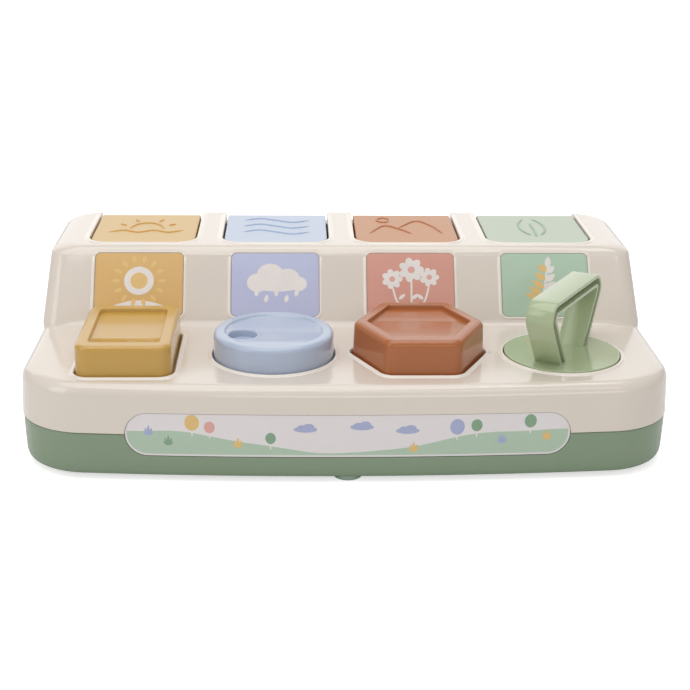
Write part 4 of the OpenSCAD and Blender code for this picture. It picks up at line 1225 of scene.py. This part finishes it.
@dataclass
class Lid:
    """One lid: rounded panel, hinge barrel open at its middle, and a raised line drawing in a
    darker tone that is painted shade standing in for engraved strokes.
    """

    column: Column
    edge: float = 0.7
    low_edge: float = 0.4
    play: float = 0.3
    spring_x: float = 9.0
    bore_r: float = 1.55
    open_r: float = 3.7
    tip_edge: float = 0.6
    stroke_w: float = 1.5
    stroke_h: float = 0.5
    stroke_root: float = 0.3
    stroke_end: float = 9.0
    picture_y: float = B.lid_front_y + 30

    def panel(self) -> Skin:
        """Panel with filleted edges: lid outlines moved in along quarter circles."""
        low, high, middle = B.top_z - B.lid_t, B.top_z, -self.edge - 0.4
        profile = [(middle, low)]
        profile += [(-inset, low + up) for up, inset in quarter(self.low_edge, 6)]
        profile += [(-inset, high - down) for inset, down in quarter(self.edge, 6)]
        profile.append((middle, high))
        return swept(lambda d: lid_outline(d - self.play), profile)

    def barrel(self) -> list[Skin]:
        """Two knuckles on the pin and an open arc between them round the spring."""
        tip = B.lid_w / 2 - self.play
        ends = [(self.bore_r, self.spring_x), (B.barrel_r - 0.02, self.spring_x)]
        ends += [(B.barrel_r - inset, tip - down) for inset, down in quarter(self.tip_edge, 5)]
        ends += [(self.bore_r + 0.35, tip), (self.bore_r, tip - 0.3)]
        skins = []
        for s in (-1, 1):
            skin = turned_profile(ends, 72, wrap=True)
            skin.points = skin.points[:, (2, 0, 1)] * [s, 1, 1]
            skins.append(skin.outward().placed([0, B.hinge_y, B.hinge_z]))
        section = np.concatenate([arc(0, 0, B.barrel_r, -48, 112, 29),
                                  arc(0, 0, self.open_r, 112, -48, 29)])
        rings = [np.column_stack([np.full(len(section), x), section + [B.hinge_y, B.hinge_z]])
                 for x in (-self.spring_x - 0.1, self.spring_x + 0.1)]
        return skins + [loft(np.array(rings))]

    def ridge(self, path: Array) -> Skin:
        """Raised stroke: a half-round section of falling height carried along a flat path."""
        t = np.linspace(0, 1, len(path))
        taper = np.sqrt(np.clip(np.minimum(t, 1 - t) * self.stroke_end, 0.03, 1))[:, None]
        a = np.linspace(0, pi, 9)
        across = np.concatenate([np.cos(a), [-1.0, 1.0]]) * self.stroke_w / 2
        height = np.concatenate([np.sin(a) * self.stroke_h, [-self.stroke_root] * 2])
        ground = path[:, None] + path_sides(path)[:, None] * across[None, :, None] * taper[:, None]
        z = B.top_z + np.where(height > 0, height * taper, height)
        return loft(np.concatenate([ground, z[..., None]], -1), tone=1)

    def drawing(self) -> list[Array]:
        """Paths of the drawing about the lid's middle: sunrise, waves, hills or leaf."""
        def bend(x: float, y: float, rx: float, ry: float, a0: float, a1: float) -> Array:
            return arc(0, 0, 1, a0, a1, 30) * [rx, ry] + [x, y]

        def wave(*knots: tuple[float, float]) -> Array:
            return smooth_path(knots, 26)

        if self.column is Column.YELLOW:
            rays = [np.linspace([cos(t) * 13, sin(t) * 17 - 4], [cos(t) * 17, sin(t) * 23 - 4], 8)
                    for t in np.radians((28, 64, 116, 152))]
            return [bend(0, -4, 9, 13, 4, 176), *rays,
                    wave((-20, -10), (-12, -6), (-4, -10), (4, -6), (12, -10), (20, -6))]
        if self.column is Column.BLUE:
            return [wave((-18, y), (-9, y + 4), (0, y), (9, y - 4), (18, y)) for y in (15, 3, -9)]
        if self.column is Column.ORANGE:
            return [wave((-20, -12), (-11, 4), (-2, -4), (3, -12)),
                    bend(-11, 16, 3.4, 4.6, 0, 340), wave((-4, -1), (7, 14), (15, 4), (20, -12))]
        return [bend(-13, 2, 20, 26, -40, 40), bend(13, 2, 20, 26, 140, 220),
                wave((0, -18), (0.4, -4), (0, 10))]

    def build(self) -> None:
        """Builds the lid and fixes it to its body."""
        column = self.column
        skins = [self.panel()] + self.barrel()
        skins += [self.ridge(path + [0, self.picture_y]) for path in self.drawing()]
        name = f"lid_{column.tint}"
        mesh = make_mesh(f"{name}_panel", [skin.placed([column.x, 0, 0]) for skin in skins])
        # The drawing takes the darker line tone, painted shade of engraved strokes.
        add_piece(mesh, [column.lid, column.line], name, column.slot, name)


def under_lid(skins: list[Skin], column: Column) -> list[Skin]:
    """Figures are drawn standing on the hinge axis, facing the front: (x, y, z) -> (x, -z, y)."""
    spot = [column.x, B.hinge_y, B.hinge_z]
    return [skin.mapped([[1, 0, 0], [0, 0, -1], [0, 1, 0]], spot).outward() for skin in skins]


def fused(name: str, skins: list[Skin], voxel: float = 0.55, rounds: int = 6) -> bpy.types.Mesh:
    """Melts overlapping surfaces into one soft skin: voxel remesh, then smoothing passes."""
    host = new_object("fusing", make_mesh("fusing", skins))
    remesh = host.modifiers.new("fuse", "REMESH")
    remesh.mode, remesh.voxel_size = "VOXEL", voxel * MM
    soften = host.modifiers.new("soften", "SMOOTH")
    soften.factor, soften.iterations = 0.5, rounds
    mesh = settled(host, name)
    mesh.polygons.foreach_set("use_smooth", [True] * len(mesh.polygons))
    return mesh


class Figures:
    """The four standing animals under the lids, each a soft moulded figure with small details."""

    @staticmethod
    def stand(half: float) -> Skin:
        """Thin rounded shelf under a figure's feet."""
        outline = rounded(box_corners(-half, -13.0, half, 2.2), [4, 4, 0.6, 0.6], 8)
        profile = [(-0.5, 6.0), (0.0, 6.4), (0.0, 8.0), (-0.5, 8.4)]
        return swept(lambda d: outline * (1 + d / half), profile)

    @staticmethod
    def eyes(*places: tuple[float, float, float], r: float = 0.9) -> list[Skin]:
        """Small dark beads."""
        return [ball(x, y, z, r, r * 0.7, r, 12) for x, y, z in places]

    @classmethod
    def lion(cls) -> tuple[list[Skin], list[Skin]]:
        """Seated lion with a scalloped mane, round muzzle and tufted tail."""
        soft = [cls.stand(17), ball(0, -4.5, 18, 9.6, 6.8, 10), ball(0, -7, 27.6, 8.6, 7.2, 8.4),
                ball(0, -13.2, 25.2, 4.0, 2.8, 3.0)]
        for s in (-1, 1):
            soft += [ball(s * 6.6, -8.4, 11.2, 4.2, 4.4, 4.6),
                     ball(s * 6.6, -11, 9.4, 3.4, 3.4, 1.9),
                     ball(s * 6.9, -7.6, 34.4, 2.9, 2.0, 2.9),
                     ball(s * 8.6, -3, 12.6, 4.6, 4.2, 5.0)]
        soft.append(limb([[8, -3, 12], [13, -3.6, 14], [15.4, -4, 19], [16.2, -4, 23.6]], 1.3, 24))
        a = np.linspace(0, 2 * pi, 13, endpoint=False)
        mane = [ball(10.0 * cos(t), -3.8, 27.6 + 9.8 * sin(t), 3.2, 3.4, 3.2, 16, 1) for t in a]
        mane += [ball(0, -3.2, 27.6, 10.4, 4.4, 10.2, 28, 1),
                 ball(16.2, -4, 24.6, 2.5, 2.2, 3.0, 16, 1)]
        return soft, mane

    @classmethod
    def elephant(cls) -> tuple[list[Skin], list[Skin]]:
        """Standing elephant with wide ears and a curled trunk."""
        soft = [cls.stand(19), ball(0, -4.6, 20, 12.4, 7.2, 11), ball(0, -7.4, 29.4, 9.2, 7.4, 8.8)]
        leg = [4.4, 4.4, 4.3, 4.2, 4.2, 4.2, 4.3, 4.4, 4.6, 4.8]
        for s in (-1, 1):
            path = [[s * 7.6, -6.4, 21], [s * 8, -6.5, 14], [s * 8, -6.6, 8]]
            soft += [limb(path, leg, len(leg)), ball(s * 13.4, -3.6, 30, 7.6, 1.9, 8.4)]
        trunk = [[0, -13, 28], [0, -15.6, 23], [0, -15.4, 17], [1.6, -15.2, 13.6],
                 [4.4, -15.4, 13.6]]
        soft.append(limb(trunk, np.linspace(3.5, 1.9, 26), 26))
        return soft, []

    @classmethod
    def flamingo(cls) -> tuple[list[Skin], list[Skin]]:
        """Flamingo with a bent neck, folded wing and thin legs."""
        soft = [cls.stand(15), ball(6, -4.8, 22.4, 7.6, 5.2, 5.6),
                ball(12.4, -4.6, 24.4, 4.4, 3.4, 2.6)]
        neck = [[1.2, -5, 22.6], [-3.4, -5, 25.6], [-1.8, -5, 29.6], [0.6, -5, 33],
                [-3.6, -5, 36.2], [-8, -5, 33.4]]
        soft += [limb(neck, np.linspace(2.5, 1.7, 44), 44), ball(-7.8, -5, 33.4, 3.1, 2.7, 2.6)]
        for x in (3.4, 8.6):
            soft.append(tube_along(np.linspace([x, -6.6, 8], [x, -6.2, 20], 10), 1.15))
            soft.append(ball(x - 0.8, -7.2, 9.0, 2.3, 2.0, 0.9))
        bill = limb([[-9.6, -5, 32.4], [-12.4, -5, 30.6], [-12.8, -5, 28]],
                    np.linspace(1.7, 0.5, 16), 16, 16, 1)
        wing = ball(7.4, -9.0, 23.0, 5.4, 1.3, 3.4, 24, 2)
        return soft, [bill, wing]

    @classmethod
    def giraffe(cls) -> tuple[list[Skin], list[Skin]]:
        """Giraffe with a long neck, small horns and patches."""
        soft = [cls.stand(18), ball(6, -6, 20.4, 11.4, 5.0, 5.6)]
        for x, y in ((-2, -4), (3, -9), (10, -9), (14, -4)):
            soft.append(tube_along(np.linspace([x, y, 8], [x * 0.9 + 0.6, y * 0.8 - 1.2, 20], 12),
                                   np.linspace(1.9, 2.3, 12)))
        neck = [[-1, -6, 20], [-3.4, -6, 27], [-5.4, -6, 36.2]]
        soft += [limb(neck, np.linspace(4.4, 2.3, 26), 26), ball(-6.6, -6, 37, 3.4, 2.9, 3.0),
                 ball(-11.2, -6, 35.0, 3.2, 2.3, 2.0)]
        marks = []
        horn = [0.7, 0.7, 0.7, 0.7, 0.8, 1.0, 1.0, 0.5]
        for s in (-1, 1):
            soft.append(ball(-4.6, -6 + s * 3.3, 38.2, 1.3, 1.6, 1.0, 14))
            path = np.linspace([-5.8, -6 + s * 1.5, 38], [-5.5, -6 + s * 1.7, 41.4], len(horn))
            marks.append(tube_along(path, horn, 12, 1))
        spots = [(-1.5, 24.6, 1.5), (-3.4, 29.4, 1.2), (-4.6, 33.2, 0.9), (1.4, 21.6, 2.1),
                 (6.4, 23.2, 2.0), (7.2, 18.6, 2.0), (11.6, 21.4, 2.1), (14.6, 18.4, 1.4)]
        for x, z, r in spots:
            inside = max(0.1, 1 - ((x - 6) / 11.4) ** 2 - ((z - 20.4) / 5.6) ** 2)
            thick = 5.0 * sqrt(inside) if z < 24 else float(np.interp(z, [24, 36], [3.5, 2.3]))
            marks.append(ball(x, -6 - thick + 0.12, z, r, 0.45, r * 0.9, 14, 1))
        return soft, marks

    def build(self) -> None:
        """Builds the four figures and their details and fixes each to its lid."""
        nose = ball(0, -15.9, 26.4, 1.3, 0.8, 0.9, 14)
        rows = (("lion", Column.YELLOW, self.lion(), Finish.LION, [Finish.MANE],
                 self.eyes((-3.2, -13.7, 29.6), (3.2, -13.7, 29.6)) + [nose]),
                ("elephant", Column.BLUE, self.elephant(), Finish.ELEPHANT, [],
                 self.eyes((-4.4, -14.0, 31.2), (4.4, -14.0, 31.2))),
                ("flamingo", Column.ORANGE, self.flamingo(), Finish.FLAMINGO,
                 [Finish.INK, Finish.PRINT_ROSE], self.eyes((-8.4, -7.6, 34.0), r=0.6)),
                ("giraffe", Column.GREEN, self.giraffe(), Finish.GIRAFFE, [Finish.BROWN],
                 self.eyes((-7.4, -8.8, 37.4), (-7.4, -3.2, 37.4), r=0.65)))
        for name, column, (soft, extra), finish, tones, face in rows:
            lid, slot = f"lid_{column.tint}", f"{name}_plastic"
            add_piece(fused(f"{name}_body", under_lid(soft, column)), [finish], lid, slot,
                      f"{name}_figure")
            details = make_mesh(f"{name}_details", under_lid(face + extra, column))
            add_piece(details, [Finish.INK] + tones, lid, slot)


# Controls -----------------------------------------------------------------------------------------

@dataclass
class PushButton:
    """A hollow push button: filleted cap with a sunk face that runs out towards the front."""

    name: str
    x: float
    outline: Callable[[float], Array]
    finish: Finish
    slot: str
    height: float
    fillet: float
    rim: float
    sink: float
    ramp_from: float
    ramp_to: float
    draft: float = 0.0
    lip: float = 0.45
    flange: float = 1.8
    flange_h: float = 1.7

    def depth(self, y: Array) -> Array:
        """Depth of the sunk face: full at the rear, running out evenly towards the front."""
        return self.sink * np.clip((y - self.ramp_to) / (self.ramp_from - self.ramp_to), 0, 1)

    def build(self) -> None:
        """Builds the cap as one closed skin, from inside its roof round to the sunk face."""
        roof, skirt, f, lip = B.deck_z + self.height, B.skirt_z, self.fillet, self.lip
        step = skirt + self.flange_h
        places = [(-2.4, roof - 4.0), (-2.2, skirt), (self.flange, skirt), (self.flange, step),
                  (0.0, step), (0.0, B.deck_z - 1)]
        for z in np.linspace(B.deck_z, roof - f, 5):
            places.append((-self.draft * (z - B.deck_z) / (roof - f - B.deck_z), z))
        places += [(-self.draft - inset, roof - down) for inset, down in quarter(f, 12)[1:]]
        places += [(-self.draft - f - 0.25, roof), (-self.rim + 0.25, roof)]
        rings = [raised(self.outline(out), z) for out, z in places]
        for down, rest in quarter(lip, 5, 80):
            outline = self.outline(-self.rim - lip + rest)
            rings.append(raised(outline, roof - np.minimum(down, self.depth(outline[:, 1]))))
        for t in (0.35, 0.7, 1.0):
            foot = self.outline(-self.rim - lip - 0.35 * t)
            full = self.depth(foot[:, 1])
            rings.append(raised(foot, roof - np.maximum(np.minimum(full, lip), full * t)))
        for s in np.linspace(0.985, 0.02, 26):
            rings.append(raised(foot * s, roof - self.depth(foot[:, 1] * s)))
        skin = loft(np.array(rings)).placed([self.x, B.control_y, 0])
        add_piece(make_mesh(f"{self.name}_cap", [skin], 36), [self.finish], self.name, self.slot,
                  self.name)


@dataclass
class Dial:
    """Round dial: soft rim, shallow sunk face that fades at the front, and a finger cup."""

    height: float = 12.5
    fillet: float = 2.4
    face_r: float = 24.9
    cup_r: float = 6.8
    cup_ring: float = 1.7
    cup_x: float = -14.6
    cup_y: float = -6.6
    cup_depth: float = 9.4
    sink: float = 1.1
    sunk_r: float = 23.9
    sunk_edge: float = 1.3
    fade_y: float = -21.0
    fade: float = 22.0
    wall_r: float = 26.6
    flange_r: float = 30.6
    flange_h: float = 1.7
    points: int = 160

    def depth(self, points: Array) -> Array:
        """Height of the face: sunk by a smooth step inside sunk_r, less towards the front."""
        step = smooth_step((self.sunk_r - np.linalg.norm(points, axis=1)) / self.sunk_edge)
        back = smooth_step((points[:, 1] - self.fade_y) / self.fade)
        return B.deck_z + self.height - self.sink * step * back

    def cup_circle(self, r: float) -> Array:
        """A circle round the cup's middle."""
        return circle(r, self.points, self.cup_x, self.cup_y)

    def build(self) -> None:
        """Builds the dial as one closed skin, from inside its roof round to the cup's floor."""
        roof, skirt, radius, f = B.deck_z + self.height, B.skirt_z, B.dial_r, self.fillet
        step = skirt + self.flange_h
        places = [(self.wall_r, roof - 3.4), (self.wall_r + 0.1, skirt), (self.flange_r, skirt),
                  (self.flange_r, step), (radius, step)]
        places += [(radius, z) for z in np.linspace(B.deck_z - 1, roof - f, 5)]
        places += [(radius - inset, roof - down) for inset, down in quarter(f, 12)[1:]]
        places += [(r, roof) for r in np.linspace(radius - f - 0.3, self.face_r, 3)]
        rings = [raised(circle(r, self.points), z) for r, z in places]
        start = circle(self.face_r, self.points)
        end = self.cup_circle(self.cup_r + self.cup_ring)
        for t in np.linspace(0, 1, 70)[1:]:
            ring = start + (end - start) * t
            rings.append(raised(ring, self.depth(ring)))
        lip = float(self.depth(np.array([[self.cup_x, self.cup_y]]))[0]) + 0.75
        for out, share in ((1.35, 0.45), (1.0, 0.85), (0.7, 1.0), (0.4, 0.9), (0.15, 0.6),
                           (0.0, 0.2)):
            ring = self.cup_circle(self.cup_r + out)
            ground = self.depth(ring)
            rings.append(raised(ring, ground + (lip - ground) * share))
        low = roof - self.cup_depth
        rings += [raised(self.cup_circle(r), z) for r, z in (
            (6.75, lip - 1.6), (6.6, low + 2.2), (6.3, low + 1.0), (5.7, low + 0.35),
            (4.8, low + 0.05), (4.0, low), (0.3, low))]
        cup = turned_profile([(0.2, low - 1.4), (6.9, low - 1.4), (8.4, low - 0.4),
                              (8.4, roof - 3.2), (7.0, roof - 3.2), (7.0, low - 0.2),
                              (0.2, low - 0.2)], 72)
        skins = [loft(np.array(rings)), cup.placed([self.cup_x, self.cup_y, 0])]
        spot = [COLUMNS[1], B.control_y, 0]
        add_piece(make_mesh("dial_cap", [skin.placed(spot) for skin in skins], 40), [Finish.BLUE],
                  "dial", "blue_plastic", "dial")


@dataclass
class TurnKey:
    """Turn key: flat disc and an upright handle, an I section carried round a tapered arch."""

    base: float = 18.3
    top: float = 39.4
    width: float = 13.2
    band: float = 1.7
    section: float = 6.2
    corner: float = 7.7
    height: float = 34.2
    disc_h: float = 1.2
    disc_edge: float = 0.5
    disc_t: float = 2.6
    ring_r: float = 24.5
    ring_t: float = 2.0
    root: float = 0.3
    angle: float = radians(58.6)

    def arch(self, inward: float, steps: int = 14) -> Array:
        """Open path of the handle's outline moved in, from its right foot to its left one."""
        high = self.height - self.disc_h
        p = grow(np.array([[-self.base, 0], [self.base, 0], [self.top, high], [-self.top, high]]),
                 -inward)
        p[:2, 0] += (self.top - self.base) / high * (p[:2, 1] + self.root) * [1, -1]
        p[:2, 1] = -self.root
        r = max(self.corner - inward, 1.2)
        corners = rounded(p, [0.01, 0.01, r, r], steps).reshape(4, steps + 1, 2)
        right, left = corners[2], corners[3]
        t = np.linspace(0, 1, 13)[:-1, None]
        across = right[-1] + (left[0] - right[-1]) * np.linspace(0, 1, 17)[1:-1, None]
        return np.concatenate([p[1] + (right[0] - p[1]) * t, right, across, left,
                               (p[0] + (left[-1] - p[0]) * t)[::-1]])

    def section_profile(self) -> Array:
        """I section as (depth inwards, place across the width), its corners slightly round."""
        w, b, s, web, e = self.width / 2, self.band, self.section, 1.0, 0.28
        outer = [(0, 0), (0, w - e), (e * 0.3, w - e * 0.3), (e, w), (b - e, w),
                 (b - e * 0.3, w - e * 0.3), (b, w - e), (b, web + 0.5), (b + 0.15, web + 0.15),
                 (b + 0.5, web)]
        half = np.array(outer + [(s - d, place) for d, place in outer[::-1]])
        return np.concatenate([half, half[-2:0:-1] * [1, -1]])

    def build(self) -> None:
        """Builds the key and fixes it to its body."""
        profile = self.section_profile()
        paths = np.array([self.arch(d) for d, _ in profile])
        rings = np.stack([paths[..., 0], np.broadcast_to(profile[:, 1][:, None], paths.shape[:2]),
                          paths[..., 1]], -1).transpose(1, 0, 2)
        c, s = cos(self.angle), sin(self.angle)
        floor, r = B.deck_z + self.disc_h, B.key_r
        handle = loft(rings).mapped([[c, -s, 0], [s, c, 0], [0, 0, 1]], [0, 0, floor])
        rim = [(r - inset, floor - down) for inset, down in quarter(self.disc_edge, 6)]
        low = floor - self.disc_t
        disc = turned_profile([(0.3, low), (r - 0.3, low), (r, low + 0.3), *rim,
                               (r - self.disc_edge - 0.3, floor), (0.3, floor)], 160)
        edges = (self.ring_r, self.ring_r + self.ring_t)
        ring = turned_profile([(edges[0], low - self.ring_t), (edges[1], low - self.ring_t),
                               (edges[1], low + 0.2), (edges[0], low + 0.2)], 96, wrap=True)
        spot = [COLUMNS[3], B.control_y, 0]
        skins = [skin.placed(spot) for skin in (handle, disc, ring)]
        add_piece(make_mesh("turn_key_grip", skins, 40), [Finish.MINT], "turn_key",
                  "mint_plastic", "turn_key")


# Inside -------------------------------------------------------------------------------------------

@dataclass
class Spring:
    """A compression spring of round wire."""

    r: float
    wire: float
    height: float
    turns: int
    travel: float

    def coil(self, sides: int = 10, steps: int = 26) -> Skin:
        """Wire on a helix about z: (r cos a, r sin a, w + (h - 2 w) a / (2 pi n)), a to 2 pi n."""
        a = np.linspace(0, 2 * pi * self.turns, self.turns * steps + 1)[:, None]
        b = np.linspace(0, 2 * pi, sides, endpoint=False)[None]
        reach = self.r + self.wire * np.cos(b)
        rise = self.wire + (self.height - 2 * self.wire) * a / a[-1]
        around = [reach * np.cos(a), reach * np.sin(a), rise + self.wire * np.sin(b)]
        return loft(np.stack(around, -1))

    def add(self, node: str, skins: list[Skin], joint: str, axis: tuple, anchor: Array) -> None:
        """Adds the spring of one CAD node as a piece with a mesh of its own, in place of that node.
        """
        piece = add_piece(make_mesh(f"{node}_wire", skins, 60), [Finish.STEEL], "housing",
                          "spring_steel", node)
        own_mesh(piece)


@dataclass
class ReturnSprings:
    """The latches' springs lie along y and push rearwards; the buttons' springs stand in pairs."""

    latch_end: float = B.control_y - 25
    latch_z: float = 35.2
    foot_z: float = 33.0
    press: float = 4.5
    pair: tuple = ((-14, -20), (14, 21))

    def build(self) -> None:
        """Builds four latch springs and both pairs of button springs."""
        for column in Column:
            spring = Spring(r=1.5, wire=0.35, height=10.4, turns=7, travel=column.travel)
            skin = spring.coil().mapped([[1, 0, 0], [0, 0, -1], [0, 1, 0]],
                                        [column.x, self.latch_end, self.latch_z])
            anchor = np.array([column.x, self.latch_end - spring.height, self.latch_z])
            spring.add(f"latch_spring_{column.tint}", [skin], f"latch_{column.tint}_slide",
                       (0, 1, 0), anchor)
        for name, x in (("square_button", COLUMNS[0]), ("hexagon_button", COLUMNS[2])):
            spring = Spring(r=2.9, wire=0.45, height=11.0, turns=6, travel=self.press)
            skins = [spring.coil().placed([x + dx, B.control_y + dy, self.foot_z])
                     for dx, dy in self.pair]
            spring.add(f"{name}_springs", skins, f"{name}_press", (0, 0, 1),
                       np.array([x, 0, self.foot_z]))


class Inside:
    """CAD nodes whose shape is right: they keep it and take a finish each.

    The first start of a name that fits counts. The latch springs are left alone, because pieces
    of round wire stand for them.
    """

    FINISHES = {"hinge_": Finish.STEEL, "catch_tongue": Finish.NYLON, "well": Finish.WELL,
                "latch_spring": None, "latch": Finish.NYLON, "dial_spring": Finish.STEEL,
                "key_spring": Finish.STEEL, "dial_washer": Finish.NYLON,
                "key_washer": Finish.NYLON, "dial_screw": Finish.STEEL,
                "key_screw": Finish.STEEL, "control_plate": Finish.NYLON,
                "plate_screws": Finish.STEEL, "case_screws": Finish.STEEL,
                "feet": Finish.RUBBER}

    def build(self) -> None:
        """Gives each node that stays its material."""
        for name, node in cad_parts.items():
            start = next((start for start in self.FINISHES if name.startswith(start)), None)
            finish = self.FINISHES.get(start)
            if finish is not None:
                node.data.materials.clear()
                node.data.materials.append(finish.material)
                log.info("%s: keeps its shape, finish %s", name, finish.value.name)


# Studio -------------------------------------------------------------------------------------------

@dataclass
class Studio:
    """White table, soft lamps, even surroundings and the camera of the picture.

    Lengths are in metres, angles in radians, and the lens and its sensor in millimetres. A lamp is
    a name, a place, the point it is aimed at, its two sides and its power.
    """

    spot: tuple = (-0.0241, -0.6840, 0.2824)
    pitch: float = 0.3475
    yaw: float = 0.0369
    roll: float = 0.0117
    lens: float = 73.06
    sensor: float = 36.0
    around: float = 0.455
    table_half: float = 6.0
    table_drop: float = 0.00005
    table_tone: float = 0.86
    table_glow: float = 0.62
    lamps: tuple = (
        ("high_softbox", (-0.1, 0.15, 1.3), (0, 0, 0.03), (1.3, 0.9), 6.5),
        ("left_softbox", (-1.15, -0.75, 0.75), (0, -0.02, 0.04), (0.7, 0.9), 3.3),
        ("front_strip", (0.35, -1.35, 0.62), (0, 0, 0.04), (1.3, 0.35), 2.3),
        ("edge_strip", (-0.1, -0.42, 1.0), (0, -0.06, 0.04), (1.5, 0.05), 1.1),
        ("upper_strip", (0.1, -0.14, 1.05), (0, -0.06, 0.04), (1.5, 0.03), 0.7),
        ("rear_softbox", (0, 1.7, 0.72), (0, 0, 0.05), (3.2, 1.3), 9.6))

    def floor(self) -> None:
        """A large pale sheet that the toy stands on; the camera alone sees its glow."""
        count = 9
        line = np.linspace(-self.table_half, self.table_half, count)
        x, y = np.meshgrid(line, line, indexing="ij")
        points = np.stack([x.ravel(), y.ravel(), np.full(x.size, -self.table_drop)], -1)
        i, j = np.meshgrid(np.arange(count - 1), np.arange(count - 1), indexing="ij")
        k = (i * count + j).ravel()
        faces = np.stack([k, k + count, k + count + 1, k + 1], -1)
        mesh = bpy.data.meshes.new("table_sheet")
        mesh.from_pydata(points.tolist(), [], faces.tolist())
        sheet = new_object("table_sheet", mesh)
        material = bpy.data.materials.new("pale_table")
        material.use_nodes = True
        tree = material.node_tree
        shader = next(n for n in tree.nodes if n.type == "BSDF_PRINCIPLED")
        base = feed(tree, shader, {"Base Color": (*[self.table_tone] * 3, 1), "Roughness": 0.9,
                                   "Specular IOR Level": 0.1}).outputs[0]
        glow = node_in(tree, "ShaderNodeEmission", {"Strength": self.table_glow}).outputs[0]
        both = node_in(tree, "ShaderNodeAddShader", {0: base, 1: glow}).outputs[0]
        seen = tree.nodes.new("ShaderNodeLightPath").outputs["Is Camera Ray"]
        mix = node_in(tree, "ShaderNodeMixShader", {"Fac": seen, 1: base, 2: both})
        out = next(n for n in tree.nodes if n.type == "OUTPUT_MATERIAL")
        feed(tree, out, {"Surface": mix.outputs[0]})
        mesh.materials.append(material)

    def lamp(self, name: str, place: tuple, aim: tuple, size: tuple, watts: float) -> None:
        """A soft rectangular lamp aimed at a point."""
        light = bpy.data.lights.new(name, "AREA")
        light.shape, light.size, light.size_y, light.energy = "RECTANGLE", *size, watts
        turn = (Vector(aim) - Vector(place)).to_track_quat("-Z", "Y").to_matrix().to_4x4()
        new_object(name, light).matrix_world = Matrix.Translation(place) @ turn

    def world(self) -> None:
        """Even light from all round; straight and clear views see plain white."""
        world = bpy.data.worlds.new("white_room")
        bpy.context.scene.world = world
        world.use_nodes = True
        tree = world.node_tree
        tree.nodes.clear()
        path = tree.nodes.new("ShaderNodeLightPath").outputs
        seen = tree.nodes.new("ShaderNodeMath")
        seen.operation = "MAXIMUM"
        feed(tree, seen, {0: path["Is Camera Ray"], 1: path["Is Transmission Ray"]})
        dim = node_in(tree, "ShaderNodeBackground", {
            "Color": (1.0, 0.985, 0.97, 1), "Strength": self.around})
        white = node_in(tree, "ShaderNodeBackground", {"Color": (1, 1, 1, 1), "Strength": 1.0})
        mix = node_in(tree, "ShaderNodeMixShader", {
            "Fac": seen.outputs[0], 1: dim.outputs[0], 2: white.outputs[0]})
        node_in(tree, "ShaderNodeOutputWorld", {"Surface": mix.outputs[0]})

    def camera(self) -> None:
        """The camera: ahead = (sin yaw cos pitch, cos yaw cos pitch, -sin pitch), then rolled."""
        ahead = np.array([sin(self.yaw) * cos(self.pitch), cos(self.yaw) * cos(self.pitch),
                          -sin(self.pitch)])
        right = np.array([cos(self.yaw), -sin(self.yaw), 0.0])
        up = np.cross(right, ahead)
        c, s = cos(self.roll), sin(self.roll)
        data = bpy.data.cameras.new("picture_camera")
        data.lens, data.sensor_width, data.sensor_fit = self.lens, self.sensor, "HORIZONTAL"
        data.clip_start, data.clip_end = 0.02, 40.0
        camera = new_object("picture_camera", data)
        turn = np.column_stack([right * c + up * s, up * c - right * s, -ahead])
        camera.matrix_world = Matrix.Translation(self.spot) @ Matrix(turn.tolist()).to_4x4()
        bpy.context.scene.camera = camera

    def build(self) -> None:
        """Sets up the table, the lamps, the surroundings and the camera."""
        self.floor()
        for row in self.lamps:
            self.lamp(*row)
        self.world()
        self.camera()
        bpy.context.scene.view_settings.view_transform = "Standard"


def main() -> None:
    """Builds the toy, sub-assembly by sub-assembly, and the studio round it."""
    square = PushButton(
        "square_button", COLUMNS[0], lambda out: square_outline(out, 14), Finish.YELLOW,
        "yellow_plastic", height=15.0, fillet=2.2, rim=5.4, sink=2.0, ramp_from=-14.5,
        ramp_to=-25.0)
    hexagon = PushButton(
        "hexagon_button", COLUMNS[2], lambda out: hexagon_outline(out, 14, 32.4), Finish.ORANGE,
        "orange_plastic", height=16.5, fillet=3.0, rim=6.2, sink=2.0, ramp_from=6.0,
        ramp_to=-22.0, draft=0.5)
    parts = (Studio(), CreamHousing(), GreenBase(), RiserCards(), FrontLabel(),
             *[Lid(column) for column in Column], Figures(), square, hexagon, Dial(), TurnKey(),
             ReturnSprings(), Inside())
    for part in parts:
        part.build()


if __name__ == "__main__":
    main()
